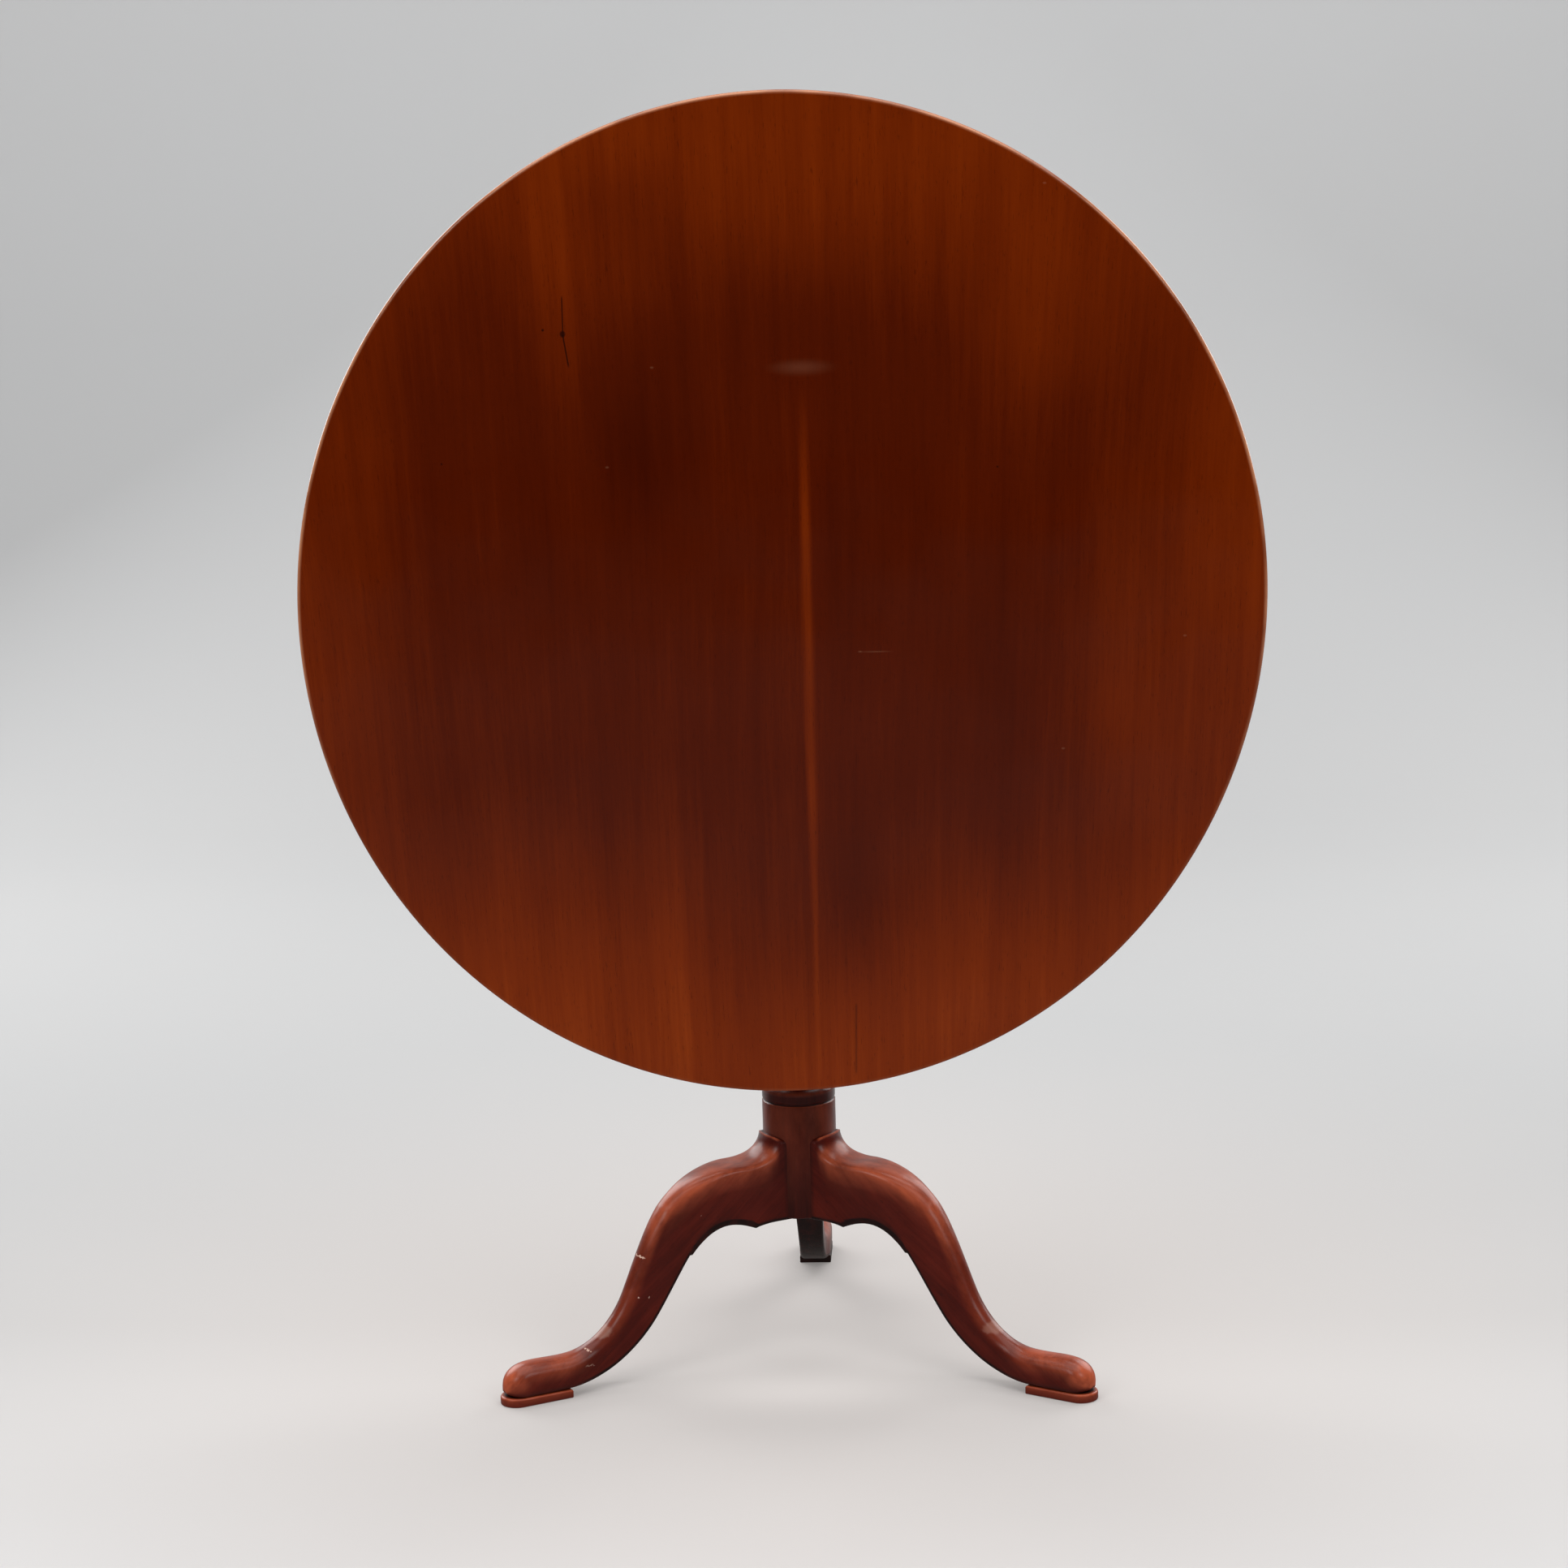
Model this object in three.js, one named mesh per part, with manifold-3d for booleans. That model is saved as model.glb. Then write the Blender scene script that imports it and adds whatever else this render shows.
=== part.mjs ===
// A tilt-top tripod table with its top tilted up: an oval one-board top on two bearers, a block
// on which they pivot, a turned column, and three cabriole legs on thin shoes.
// Millimetres, +Z up, the polished face of the top looks along -Y. The origin is on the floor,
// midway between the frontmost and the rearmost point of the feet.
import * as THREE from "three";
import { mergeVertices } from "three/addons/utils/BufferGeometryUtils.js";
import Module from "manifold-3d";

const wasm = await Module();
wasm.setup();

// ---- Driving dimensions -------------------------------------------------------------------
const gap = 0.3; // left between pieces that touch

const topAcross = 906; // short axis of the oval top, a round board that has shrunk across its grain
const topAlong = 943; // its long axis
const topLean = 9.4; // degrees by which the long axis leans to the right when the top stands up
const topThickness = 18;

const footRadius = 329; // column axis to the tip of a shoe
const heelRadius = 261; // column axis to the square heel of a shoe
const footWidth = 33; // of a leg and its shoe
const ankleWidth = 26;
const kneeWidth = 48; // of a leg where it leaves the column
const shoeThickness = 8.7;
const legAzimuths = { leg_left: 210, leg_right: -30, leg_rear: 90 };

const columnBottom = 143;
const columnRadius = 36.2;
const legTop = 226;

const blockSize = 192;
const blockThickness = 32;
const pivotHeight = 686; // of the tilting axis, at half the thickness of the block
const bearerWidth = 30;
const bearerLength = 660;

// ---- Worked out from them -----------------------------------------------------------------
const pivotToUnderside = blockThickness / 2 + 0.5; // the closed top clears the block by 0.5
const pivotToBlockFront = pivotToUnderside - gap; // the tilted top stops on this face
const pivotForward = blockSize / 2 - pivotToBlockFront; // pivot in front of the column axis
const blockRear = blockSize - pivotToBlockFront; // rear face of the block, behind the pivot
const bearerHeight = 2 * pivotToUnderside - 2 * gap; // so the pivot is at half its height
const bearerMiddle = blockSize / 2 + 1 + bearerWidth / 2;
const columnTop = pivotHeight - blockThickness / 2 - gap;

// ---- Materials ----------------------------------------------------------------------------
const wood = (color, roughness) => new THREE.MeshStandardMaterial({ color, roughness, metalness: 0 });
const metal = (color, roughness) => new THREE.MeshStandardMaterial({ color, roughness, metalness: 1 });
const polishedMahogany = wood(0x6e2c10, 0.3);
const baseMahogany = wood(0x52190e, 0.35);
const undersideMahogany = wood(0x4c2413, 0.6);
const brass = metal(0xa57f3c, 0.4);
const steel = metal(0x6b6660, 0.5);

// ---- Helpers ------------------------------------------------------------------------------
const X = new THREE.Vector3(1, 0, 0);
const Y = new THREE.Vector3(0, 1, 0);
const Z = new THREE.Vector3(0, 0, 1);
// A shape drawn in (y, z) and extruded along x, and one drawn in (x, z) and extruded along -y.
const sideways = new THREE.Matrix4().makeBasis(Y, Z, X);
const upright = new THREE.Matrix4().makeBasis(X, Z, Y.clone().negate());

// Merging the vertices of a geometry can leave triangles with no area, which are dropped here.
function solid(geometry) {
  const bare = geometry.clone();
  bare.deleteAttribute("normal");
  bare.deleteAttribute("uv");
  const merged = mergeVertices(bare, 1e-3);
  const corners = Array.from(merged.index.array);
  const triangles = [];
  for (let i = 0; i < corners.length; i += 3) {
    const [a, b, c] = corners.slice(i, i + 3);
    if (a !== b && b !== c && c !== a) triangles.push(a, b, c);
  }
  const mesh = new wasm.Mesh({
    numProp: 3,
    vertProperties: merged.attributes.position.array,
    triVerts: new Uint32Array(triangles),
  });
  return new wasm.Manifold(mesh);
}

function geometryOf(manifold) {
  const mesh = manifold.getMesh();
  const geometry = new THREE.BufferGeometry();
  geometry.setAttribute("position", new THREE.BufferAttribute(mesh.vertProperties, 3));
  geometry.setIndex(new THREE.BufferAttribute(mesh.triVerts, 1));
  geometry.computeVertexNormals();
  return geometry;
}

function addPiece(group, name, body, material) {
  const mesh = new THREE.Mesh(body.isBufferGeometry ? body : geometryOf(body), material);
  mesh.name = name;
  group.add(mesh);
  return mesh;
}

const shapeOf = (points) => new THREE.Shape(points.map(([u, v]) => new THREE.Vector2(u, v)));

// Extrudes a shape by depth, centred on its own plane, with edges rounded by radius.
function extrude(shape, depth, radius = 0, segments = 2, curveSegments = 8) {
  const geometry = new THREE.ExtrudeGeometry(shape, {
    depth: depth - 2 * radius,
    bevelEnabled: radius > 0,
    bevelThickness: radius,
    bevelSize: radius,
    bevelOffset: -radius,
    bevelSegments: segments,
    curveSegments,
  });
  return geometry.translate(0, 0, radius - depth / 2);
}

// A turned piece around +Z from [radius, height] pairs that start and end on the axis.
function turned(profile, segments) {
  const points = profile.map(([r, z]) => new THREE.Vector2(r, z));
  return new THREE.LatheGeometry(points, segments).rotateX(Math.PI / 2);
}

const boxAt = (x0, x1, y0, y1, z0, z1) =>
  new THREE.BoxGeometry(x1 - x0, y1 - y0, z1 - z0).translate((x0 + x1) / 2, (y0 + y1) / 2, (z0 + z1) / 2);

const rod = (radius, z0, z1, segments = 24) =>
  turned([[0, z0], [radius, z0], [radius, z1], [0, z1]], segments);

// ---- Slotted wood screws ------------------------------------------------------------------
// Head at the origin, pointing along +Z. With grow, it is the hole that the screw sits in.
function screwBody(screw, grow = 0) {
  const { head, shank, length } = screw;
  const start = grow > 0 ? -1 : 0;
  const profile = [
    [0, start],
    [head + grow, start],
    [head + grow, 0.5],
    [shank + grow, 0.5 + head - shank],
    [shank + grow, length - 3 * shank],
    [0.4 + grow, length + grow],
    [0, length + grow],
  ];
  const body = solid(turned(profile, 10));
  if (grow > 0) return body;
  return body.subtract(solid(boxAt(-head - 1, head + 1, -0.5, 0.5, -1, 0.28 * head)));
}

const bearerScrew = { head: 5.2, shank: 2.6, length: 43 };
const catchScrew = { head: 3.2, shank: 1.6, length: 13 };
const strikerScrew = { head: 3, shank: 1.5, length: 12 };

// ---- Legs ---------------------------------------------------------------------------------
// The side view of a leg, as stretches that each have a top and a bottom cubic curve: start,
// two handles and end, as [radius from the column axis, height]. It runs from the column over
// the knee to the ankle and the pad foot. Underneath, a bracket begins in a cusp near the column
// and ends in a small step.
const sole = shoeThickness + gap;
const ledge = 4; // flat top of a leg, around the drum
const bracketEnd = [128.5, 120.5];
const bracketStep = 2.5;
const legStretches = [
  {
    top: [[columnRadius + ledge, legTop], [41, 212], [55, 202.5], [74.5, 203]],
    bottom: [[columnRadius + ledge, 141.5], [47, 141.5], [56.5, 141.5], [64.5, 138.5]],
  },
  {
    top: [[74.5, 203], [101.5, 204], [135, 194], [154, 172.5]],
    bottom: [[64.5, 138.5], [80.5, 146.5], [101, 154], bracketEnd],
  },
  {
    top: [[154, 172.5], [171, 153], [187, 111.5], [198, 88]],
    bottom: [[bracketEnd[0] + bracketStep, bracketEnd[1]], [143, 102.5], [153.5, 82.5], [167, 63.5]],
  },
  {
    top: [[198, 88], [208, 67.5], [225.5, 47.5], [250.5, 41]],
    bottom: [[167, 63.5], [180.5, 44], [212, 15.5], [247, 11]],
  },
  {
    top: [[250.5, 41], [266, 37], [288.5, 41], [303.5, 39]],
    bottom: [[247, 11], [257, sole], [280, sole], [303, sole]],
  },
  {
    top: [[303.5, 39], [314.5, 37.5], [329, 29], [326, 15]],
    bottom: [[303, sole], [312, sole], [323, sole], [325.5, 12.5]],
  },
];

const cubic = (points) => new THREE.CubicBezierCurve(...points.map(([u, v]) => new THREE.Vector2(u, v)));

// Half the width of a leg at a radius from the column axis: it tapers to the ankle, widens to the
// foot, and is round at the toe.
const taper = { start: 60, end: 195 };
const widening = { start: 225, end: 265 };
const toeSetBack = 2.5; // of the leg's toe behind the shoe's

function legHalfWidth(radius) {
  const slim = 1 - THREE.MathUtils.smoothstep(radius, taper.start, taper.end);
  const broad = THREE.MathUtils.smoothstep(radius, widening.start, widening.end);
  const width = ankleWidth + (kneeWidth - ankleWidth) * slim + (footWidth - ankleWidth) * broad;
  const beyond = Math.max(0, radius - (footRadius - toeSetBack - footWidth / 2));
  return Math.sqrt(Math.max(0.4, (width * width) / 4 - beyond * beyond));
}

// The crown of a leg is broad with firm shoulders near the column, and round from the knee on.
const crown = { start: 60, end: 130, lowHeight: 10, fullHeight: 15, squarePower: 5, roundPower: 2.2 };
const lowerEdgeRound = 3;
const crownSteps = 5;

// Near the column, a leg follows circles around the column's axis instead of straight lines.
const followsColumn = { until: 50, fades: 90 };

function aroundColumn(radius, across, height) {
  const straight = THREE.MathUtils.smoothstep(radius, followsColumn.until, followsColumn.fades);
  const circular = Math.sqrt(Math.max(1, radius * radius - across * across));
  return new THREE.Vector3(straight * radius + (1 - straight) * circular, across, height);
}

// One closed section across the leg, from one lower edge over the crown to the other.
function legSection(bottom, top) {
  const height = bottom.distanceTo(top);
  const radius = (bottom.x + top.x) / 2;
  const half = legHalfWidth(radius);
  const roundness = THREE.MathUtils.clamp((radius - crown.start) / (crown.end - crown.start), 0, 1);
  const rise = Math.min(THREE.MathUtils.lerp(crown.lowHeight, crown.fullHeight, roundness), height / 2);
  const power = 2 / THREE.MathUtils.lerp(crown.squarePower, crown.roundPower, roundness);
  const lower = Math.min(lowerEdgeRound, height / 5);
  const side = [];
  for (const turn of [0, 0.5, 1]) {
    const angle = (turn * Math.PI) / 2;
    side.push([1 - (lower / half) * (1 - Math.sin(angle)), lower * (1 - Math.cos(angle))]);
  }
  for (let i = 0; i < crownSteps; i += 1) {
    const angle = ((i / crownSteps) * Math.PI) / 2;
    side.push([Math.cos(angle) ** power, height - rise * (1 - Math.sin(angle) ** power)]);
  }
  const mirrored = side.map(([across, up]) => [-across, up]).reverse();
  return [...side, [0, height], ...mirrored].map(([across, up]) => {
    const at = bottom.clone().lerp(top, up / height);
    return aroundColumn(at.x, across * Math.min(half, legHalfWidth(at.x)), at.y);
  });
}

// Joins closed sections of equally many points into one skin with flat ends.
function loft(sections) {
  const count = sections[0].length;
  const triangles = [];
  for (let i = 0; i + 1 < sections.length; i += 1) {
    for (let j = 0; j < count; j += 1) {
      const a = i * count + j;
      const b = i * count + ((j + 1) % count);
      triangles.push(a, b, b + count, a, b + count, a + count);
    }
  }
  const last = (sections.length - 1) * count;
  for (let j = 1; j + 1 < count; j += 1) {
    triangles.push(0, j + 1, j, last, last + j, last + j + 1);
  }
  return new THREE.BufferGeometry().setFromPoints(sections.flat()).setIndex(triangles);
}

function legGeometry() {
  const inner = columnRadius - 4; // inside the drum, where the leg is cut to fit it
  const [first] = legStretches;
  const innerBottom = new THREE.Vector2(inner, first.bottom[0][1]);
  const innerTop = new THREE.Vector2(inner, legTop);
  const sections = [legSection(innerBottom, innerTop)];
  const steps = 7;
  let previous = null;
  for (const stretch of legStretches) {
    const top = cubic(stretch.top);
    const bottom = cubic(stretch.bottom);
    const joined = previous !== null && previous.bottom[3][0] === stretch.bottom[0][0];
    for (let i = joined ? 1 : 0; i <= steps; i += 1) {
      sections.push(legSection(bottom.getPoint(i / steps), top.getPoint(i / steps)));
    }
    previous = stretch;
  }
  return loft(sections);
}

// A shape seen from above: straight sides, square at the inner end and round at the outer one.
function planShape(inner, tip, width) {
  const half = width / 2;
  const shape = new THREE.Shape();
  shape.moveTo(inner, half);
  shape.lineTo(inner, -half);
  shape.absarc(tip - half, 0, half, -Math.PI / 2, Math.PI / 2, false);
  return shape;
}

// The dovetail that slides up into the column from below, wider at its inner end.
const dovetail = { inner: 20, innerHalf: 9, outerHalf: 6.5, bottom: 147, top: 215 };

function dovetailBody(grow, bottom) {
  const { inner, innerHalf, outerHalf, top } = dovetail;
  const outer = columnRadius + 2;
  const outline = shapeOf([
    [inner - grow, -innerHalf - grow],
    [outer, -outerHalf - grow],
    [outer, outerHalf + grow],
    [inner - grow, innerHalf + grow],
  ]);
  const height = top + grow - bottom;
  return solid(extrude(outline, height).translate(0, 0, bottom + height / 2));
}

function legBody() {
  const seat = solid(rod(columnRadius + gap, 0, 2 * legTop, 32));
  return solid(legGeometry()).subtract(seat).add(dovetailBody(0, dovetail.bottom));
}

// A shoe: a thin slab under the foot, square at the heel and round at the toe.
function shoeGeometry() {
  const plan = planShape(heelRadius, footRadius, footWidth);
  return extrude(plan, shoeThickness, 0.8, 1, 12).translate(0, 0, shoeThickness / 2);
}

// ---- Column -------------------------------------------------------------------------------
// Bottom to top: the plain drum that holds the legs, a ring, a vase, a long tapered shaft, a
// capital under the block, and the tenon that passes through the block.
const tenonRadius = 19;
const tenonTop = pivotHeight + blockThickness / 2;

// Points on an arc bulging out or in between two points of a turned profile.
function bulge([r0, z0], [r1, z1], depth, steps) {
  const curve = new THREE.QuadraticBezierCurve(
    new THREE.Vector2(r0, z0),
    new THREE.Vector2((r0 + r1) / 2 + 2 * depth, (z0 + z1) / 2),
    new THREE.Vector2(r1, z1),
  );
  return curve.getPoints(steps).map((p) => [p.x, p.y]);
}

function columnProfile() {
  const groove = columnRadius - 1.2;
  const ring = columnRadius - 0.2;
  return [
    [0, columnBottom],
    [columnRadius, columnBottom],
    [columnRadius, 257],
    [groove, 257.6],
    [groove, 258.8],
    [ring, 259.6],
    ...bulge([ring, 268], [30.5, 274], 1.3, 4),
    [27, 275],
    ...bulge([26, 277], [29, 296], -3, 4),
    ...bulge([30, 300], [25, 410], 15, 8),
    ...bulge([22, 418], [24, 434], -1.5, 3),
    ...bulge([25, 437], [25, 447], 4, 4),
    [24, 450],
    ...bulge([27, 453], [21, 615], 1, 6),
    ...bulge([23, 620], [23, 629], 3, 4),
    ...bulge([22, 632], [40, 657], -5, 5),
    [42, 660],
    [42, columnTop],
    [tenonRadius, columnTop],
    [tenonRadius, tenonTop],
    [0, tenonTop],
  ];
}

const wedge = { length: 32, top: 4, bottom: 1.4, depth: 26 };

function wedgeBody(grow) {
  const outline = shapeOf([
    [-wedge.bottom / 2 - grow, tenonTop - wedge.depth - grow],
    [wedge.bottom / 2 + grow, tenonTop - wedge.depth - grow],
    [wedge.top / 2 + grow, tenonTop + grow],
    [-wedge.top / 2 - grow, tenonTop + grow],
  ]);
  return solid(extrude(outline, wedge.length + 2 * grow).applyMatrix4(sideways));
}

function columnBody() {
  let body = solid(turned(columnProfile(), 24)).subtract(wedgeBody(gap));
  for (const azimuth of Object.values(legAzimuths)) {
    body = body.subtract(dovetailBody(gap, columnBottom - 5).rotate(0, 0, azimuth));
  }
  return body;
}

// ---- Everything below is drawn from the pivot, with the top closed --------------------------
// Origin on the tilting axis, +Y to the rear, +Z up towards the underside of the top.

// Spring catch, behind the block: a brass case on the top, and a bolt that snaps into a striker.
const boltWidth = 12;
const boltHeight = 8;
const boltMiddle = 3; // height of the bolt above the pivot
const boltTip = blockRear - 7.5;
const boltLength = 46;
const boltTravel = 8.5;
const caseFront = blockRear + 5;
const caseRear = caseFront + 62;
const caseWall = 3;
const knobAt = boltTip + 33;

// ---- Block --------------------------------------------------------------------------------
// The block, its two round pintles, and the mortise for the catch bolt in its rear face. The
// front upper edge is rounded about the pivot, so that the underside of the top rolls past it.
const pintleRadius = 8;
const strikerPlate = { half: 20, low: -8, high: 14, thickness: 2 };
const strikerScrewSide = 14; // from the middle of the plate to each of its screws
const mortiseDepth = 13; // for the nose of the bolt

function strikerOpening(depth, clearance) {
  const half = boltWidth / 2 + clearance;
  const low = boltMiddle - boltHeight / 2 - clearance;
  const high = boltMiddle + boltHeight / 2 + clearance;
  return solid(boxAt(-half, half, blockRear - depth, blockRear + 1, low, high));
}

function strikerScrews(make) {
  const sides = [-strikerScrewSide, strikerScrewSide];
  return sides.map((x) => make().rotate(90, 0, 0).translate(x, blockRear, boltMiddle));
}

function blockBody() {
  const half = blockThickness / 2;
  const shape = new THREE.Shape();
  shape.moveTo(-pivotToBlockFront, -half);
  shape.lineTo(blockRear, -half);
  shape.lineTo(blockRear, half);
  shape.lineTo(0, half);
  shape.absarc(0, 0, half, Math.PI / 2, Math.PI, false);
  shape.lineTo(-pivotToBlockFront, 0);
  let body = solid(extrude(shape, blockSize, 0, 0, 6).applyMatrix4(sideways));
  const reach = bearerMiddle + bearerWidth / 2 - 1;
  body = body.add(solid(rod(pintleRadius, -reach, reach, 20).rotateY(Math.PI / 2)));
  const tenonHole = rod(tenonRadius + gap, -blockThickness, blockThickness, 28);
  body = body.subtract(solid(tenonHole.translate(0, pivotForward, 0)));
  const { half: wide, low, high, thickness } = strikerPlate;
  const recessFloor = blockRear - thickness - gap;
  const recess = boxAt(-wide - gap, wide + gap, recessFloor, blockRear + 1, low - gap, high + gap);
  body = body.subtract(solid(recess)).subtract(strikerOpening(mortiseDepth, 1));
  for (const hole of strikerScrews(() => screwBody(strikerScrew, gap))) body = body.subtract(hole);
  return body;
}

function strikerBody() {
  const { half, low, high, thickness } = strikerPlate;
  const plate = solid(boxAt(-half, half, blockRear - thickness, blockRear, low, high));
  let body = plate.subtract(strikerOpening(mortiseDepth, 0.6));
  for (const hole of strikerScrews(() => screwBody(strikerScrew, gap))) body = body.subtract(hole);
  return body;
}

// ---- Top ----------------------------------------------------------------------------------
function topBody() {
  const across = topAcross / topAlong;
  const radius = topAlong / 2;
  const low = pivotToUnderside;
  const high = low + topThickness;
  const profile = [
    [0, low],
    [radius - 9, low],
    [radius - 3, low + 3],
    [radius - 0.6, low + 7],
    [radius, high - 4],
    [radius - 0.9, high - 1.3],
    [radius - 3.2, high],
    [0, high],
  ];
  const oval = turned(profile, 96).scale(across, 1, 1).rotateZ(-THREE.MathUtils.degToRad(topLean));
  let body = solid(oval.translate(0, pivotForward, 0));
  for (const at of bearerScrewPlaces()) body = body.subtract(bearerScrewAt(at, gap));
  for (const at of catchScrewPlaces()) body = body.subtract(catchScrewAt(at, gap));
  return body;
}

// A bearer: a long batten with hollowed, tapering ends, bored for the pintle.
function bearerBody(side) {
  const high = pivotToUnderside - gap;
  const low = high - bearerHeight;
  const end = bearerLength / 2;
  const taper = 70;
  const tip = high - 12;
  const shape = new THREE.Shape();
  shape.moveTo(-end, high);
  shape.lineTo(-end, tip);
  shape.quadraticCurveTo(-end + 0.75 * taper, tip, -end + taper, low);
  shape.lineTo(end - taper, low);
  shape.quadraticCurveTo(end - 0.75 * taper, tip, end, tip);
  shape.lineTo(end, high);
  const batten = extrude(shape, bearerWidth, 1.2, 1, 6).applyMatrix4(sideways);
  let body = solid(batten.translate(side * bearerMiddle, pivotForward, 0));
  const bore = rod(pintleRadius + 0.4, bearerMiddle - bearerWidth, bearerMiddle + bearerWidth, 20);
  body = body.subtract(solid(bore.rotateY((side * Math.PI) / 2)));
  for (const at of bearerScrewPlaces().filter((place) => place.side === side)) {
    body = body.subtract(bearerScrewAt(at, gap));
  }
  return body;
}

function bearerScrewPlaces() {
  const along = [-235, -150, 70, 235];
  return [-1, 1].flatMap((side) => along.map((y) => ({ side, y })));
}

function bearerScrewAt({ side, y }, grow) {
  const bearerFace = pivotToUnderside - gap - bearerHeight;
  return screwBody(bearerScrew, grow).translate(side * bearerMiddle, pivotForward + y, bearerFace);
}

// ---- Catch --------------------------------------------------------------------------------
const flangeHalf = 21;
const flangeThickness = 2.5;
const flangeTail = 4; // of the flange, behind the housing
const catchScrewSide = 15.5;
const catchScrewsAlong = [7, 55]; // from the front of the case
const knobStem = 2.5; // its radius
const knobLength = 17; // below the underside of the bolt

function catchScrewPlaces() {
  const pair = (along) => [-1, 1].map((side) => ({ x: side * catchScrewSide, y: caseFront + along }));
  return catchScrewsAlong.flatMap(pair);
}

function catchScrewAt({ x, y }, grow) {
  return screwBody(catchScrew, grow).translate(x, y, pivotToUnderside - gap - flangeThickness);
}

function catchCaseBody() {
  const high = pivotToUnderside - gap;
  const channel = boltWidth / 2 + gap;
  const outside = channel + caseWall;
  const channelLow = boltMiddle - boltHeight / 2 - gap;
  const channelRear = caseRear - flangeTail - caseWall;
  const slotHalf = knobStem + 0.5;
  const slotRear = knobAt + slotHalf + boltTravel;
  const flange = solid(boxAt(-flangeHalf, flangeHalf, caseFront, caseRear, high - flangeThickness, high));
  const housing = boxAt(-outside, outside, caseFront, caseRear - flangeTail, channelLow - 2.5, high);
  let body = flange.add(solid(housing));
  body = body.subtract(solid(boxAt(-channel, channel, caseFront - 1, channelRear, channelLow, high + 1)));
  const slot = boxAt(-slotHalf, slotHalf, knobAt - slotHalf, slotRear, channelLow - 4, channelLow + 1);
  body = body.subtract(solid(slot));
  for (const at of catchScrewPlaces()) body = body.subtract(catchScrewAt(at, gap));
  return body;
}

// The bolt's nose slopes underneath, so that it rides over the striker as the top comes down.
function catchBoltBody() {
  const low = boltMiddle - boltHeight / 2;
  const high = boltMiddle + boltHeight / 2;
  const outline = shapeOf([
    [boltTip + 9, low],
    [boltTip + boltLength, low],
    [boltTip + boltLength, high],
    [boltTip, high],
    [boltTip, high - 2.5],
  ]);
  const bar = solid(extrude(outline, boltWidth).applyMatrix4(sideways));
  return bar.subtract(solid(rod(knobStem + gap, low - 1, low + 5, 16).translate(0, knobAt, 0)));
}

function catchKnobGeometry() {
  const low = boltMiddle - boltHeight / 2;
  const profile = [
    [0, low - knobLength],
    ...bulge([4, low - knobLength], [4.5, low - 7], 2, 5),
    [knobStem, low - 5],
    [knobStem, low + 4.5],
    [0, low + 4.5],
  ];
  return turned(profile, 16).translate(0, knobAt, 0);
}

class Helix extends THREE.Curve {
  constructor(radius, length, turns) {
    super();
    Object.assign(this, { radius, length, turns });
  }
  getPoint(t, target = new THREE.Vector3()) {
    const angle = 2 * Math.PI * this.turns * t;
    return target.set(this.radius * Math.cos(angle), this.length * t, this.radius * Math.sin(angle));
  }
}

function catchSpringGeometry() {
  const wire = 0.55;
  const turns = 6;
  const from = boltTip + boltLength + gap + wire;
  const to = caseRear - flangeTail - caseWall - gap - wire;
  const hexagon = shapeOf([0, 1, 2, 3, 4, 5].map((i) => [
    wire * Math.cos((i * Math.PI) / 3),
    wire * Math.sin((i * Math.PI) / 3),
  ]));
  const extrudePath = new Helix(2.8, to - from, turns);
  const coil = new THREE.ExtrudeGeometry(hexagon, { steps: turns * 10, bevelEnabled: false, extrudePath });
  return coil.translate(0, from, boltMiddle);
}

// ---- Assembly -----------------------------------------------------------------------------
const table = new THREE.Group();

// The feet reach from a front toe to the rear toe: put the middle of that over the origin.
const toeHalf = footWidth / 2;
const frontReach = (footRadius - toeHalf) * Math.sin(Math.PI / 6) + toeHalf;
table.position.y = -(footRadius - frontReach) / 2;

addPiece(table, "column", columnBody(), baseMahogany);
addPiece(table, "column_wedge", wedgeBody(0), undersideMahogany);
for (const [name, azimuth] of Object.entries(legAzimuths)) {
  const turn = THREE.MathUtils.degToRad(azimuth);
  addPiece(table, name, legBody(), baseMahogany).rotation.z = turn;
  addPiece(table, name.replace("leg", "shoe"), shoeGeometry(), baseMahogany).rotation.z = turn;
}

const blockGroup = new THREE.Group();
blockGroup.position.set(0, -pivotForward, pivotHeight);
table.add(blockGroup);
addPiece(blockGroup, "top_block", blockBody(), undersideMahogany);
addPiece(blockGroup, "striker_plate", strikerBody(), brass);
strikerScrews(() => screwBody(strikerScrew)).forEach((body, i) => {
  addPiece(blockGroup, "striker_screw_" + (i + 1), body, steel);
});

// The top and what is fixed to it, swung up by a quarter turn about the pivot.
const tilting = new THREE.Group();
tilting.position.copy(blockGroup.position);
tilting.rotation.x = Math.PI / 2;
table.add(tilting);
addPiece(tilting, "top_board", topBody(), polishedMahogany);
addPiece(tilting, "bearer_left", bearerBody(-1), undersideMahogany);
addPiece(tilting, "bearer_right", bearerBody(1), undersideMahogany);
bearerScrewPlaces().forEach((at, i) => {
  addPiece(tilting, "bearer_screw_" + (i + 1), bearerScrewAt(at, 0), steel);
});
addPiece(tilting, "catch_case", catchCaseBody(), brass);
addPiece(tilting, "catch_bolt", catchBoltBody(), brass);
addPiece(tilting, "catch_knob", catchKnobGeometry(), brass);
addPiece(tilting, "catch_spring", catchSpringGeometry(), steel);
catchScrewPlaces().forEach((at, i) => {
  addPiece(tilting, "catch_screw_" + (i + 1), catchScrewAt(at, 0), steel);
});

export default table;
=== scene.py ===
"""The looks of the tilt-top table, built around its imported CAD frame.

Metres, +Z up. At rest the top is tilted up and its polished face looks along -Y. The fine meshes
repeat the CAD model's dimensions, and every place is worked out from the frame.
"""

import math

import bpy
from mathutils import Matrix, Vector


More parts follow.
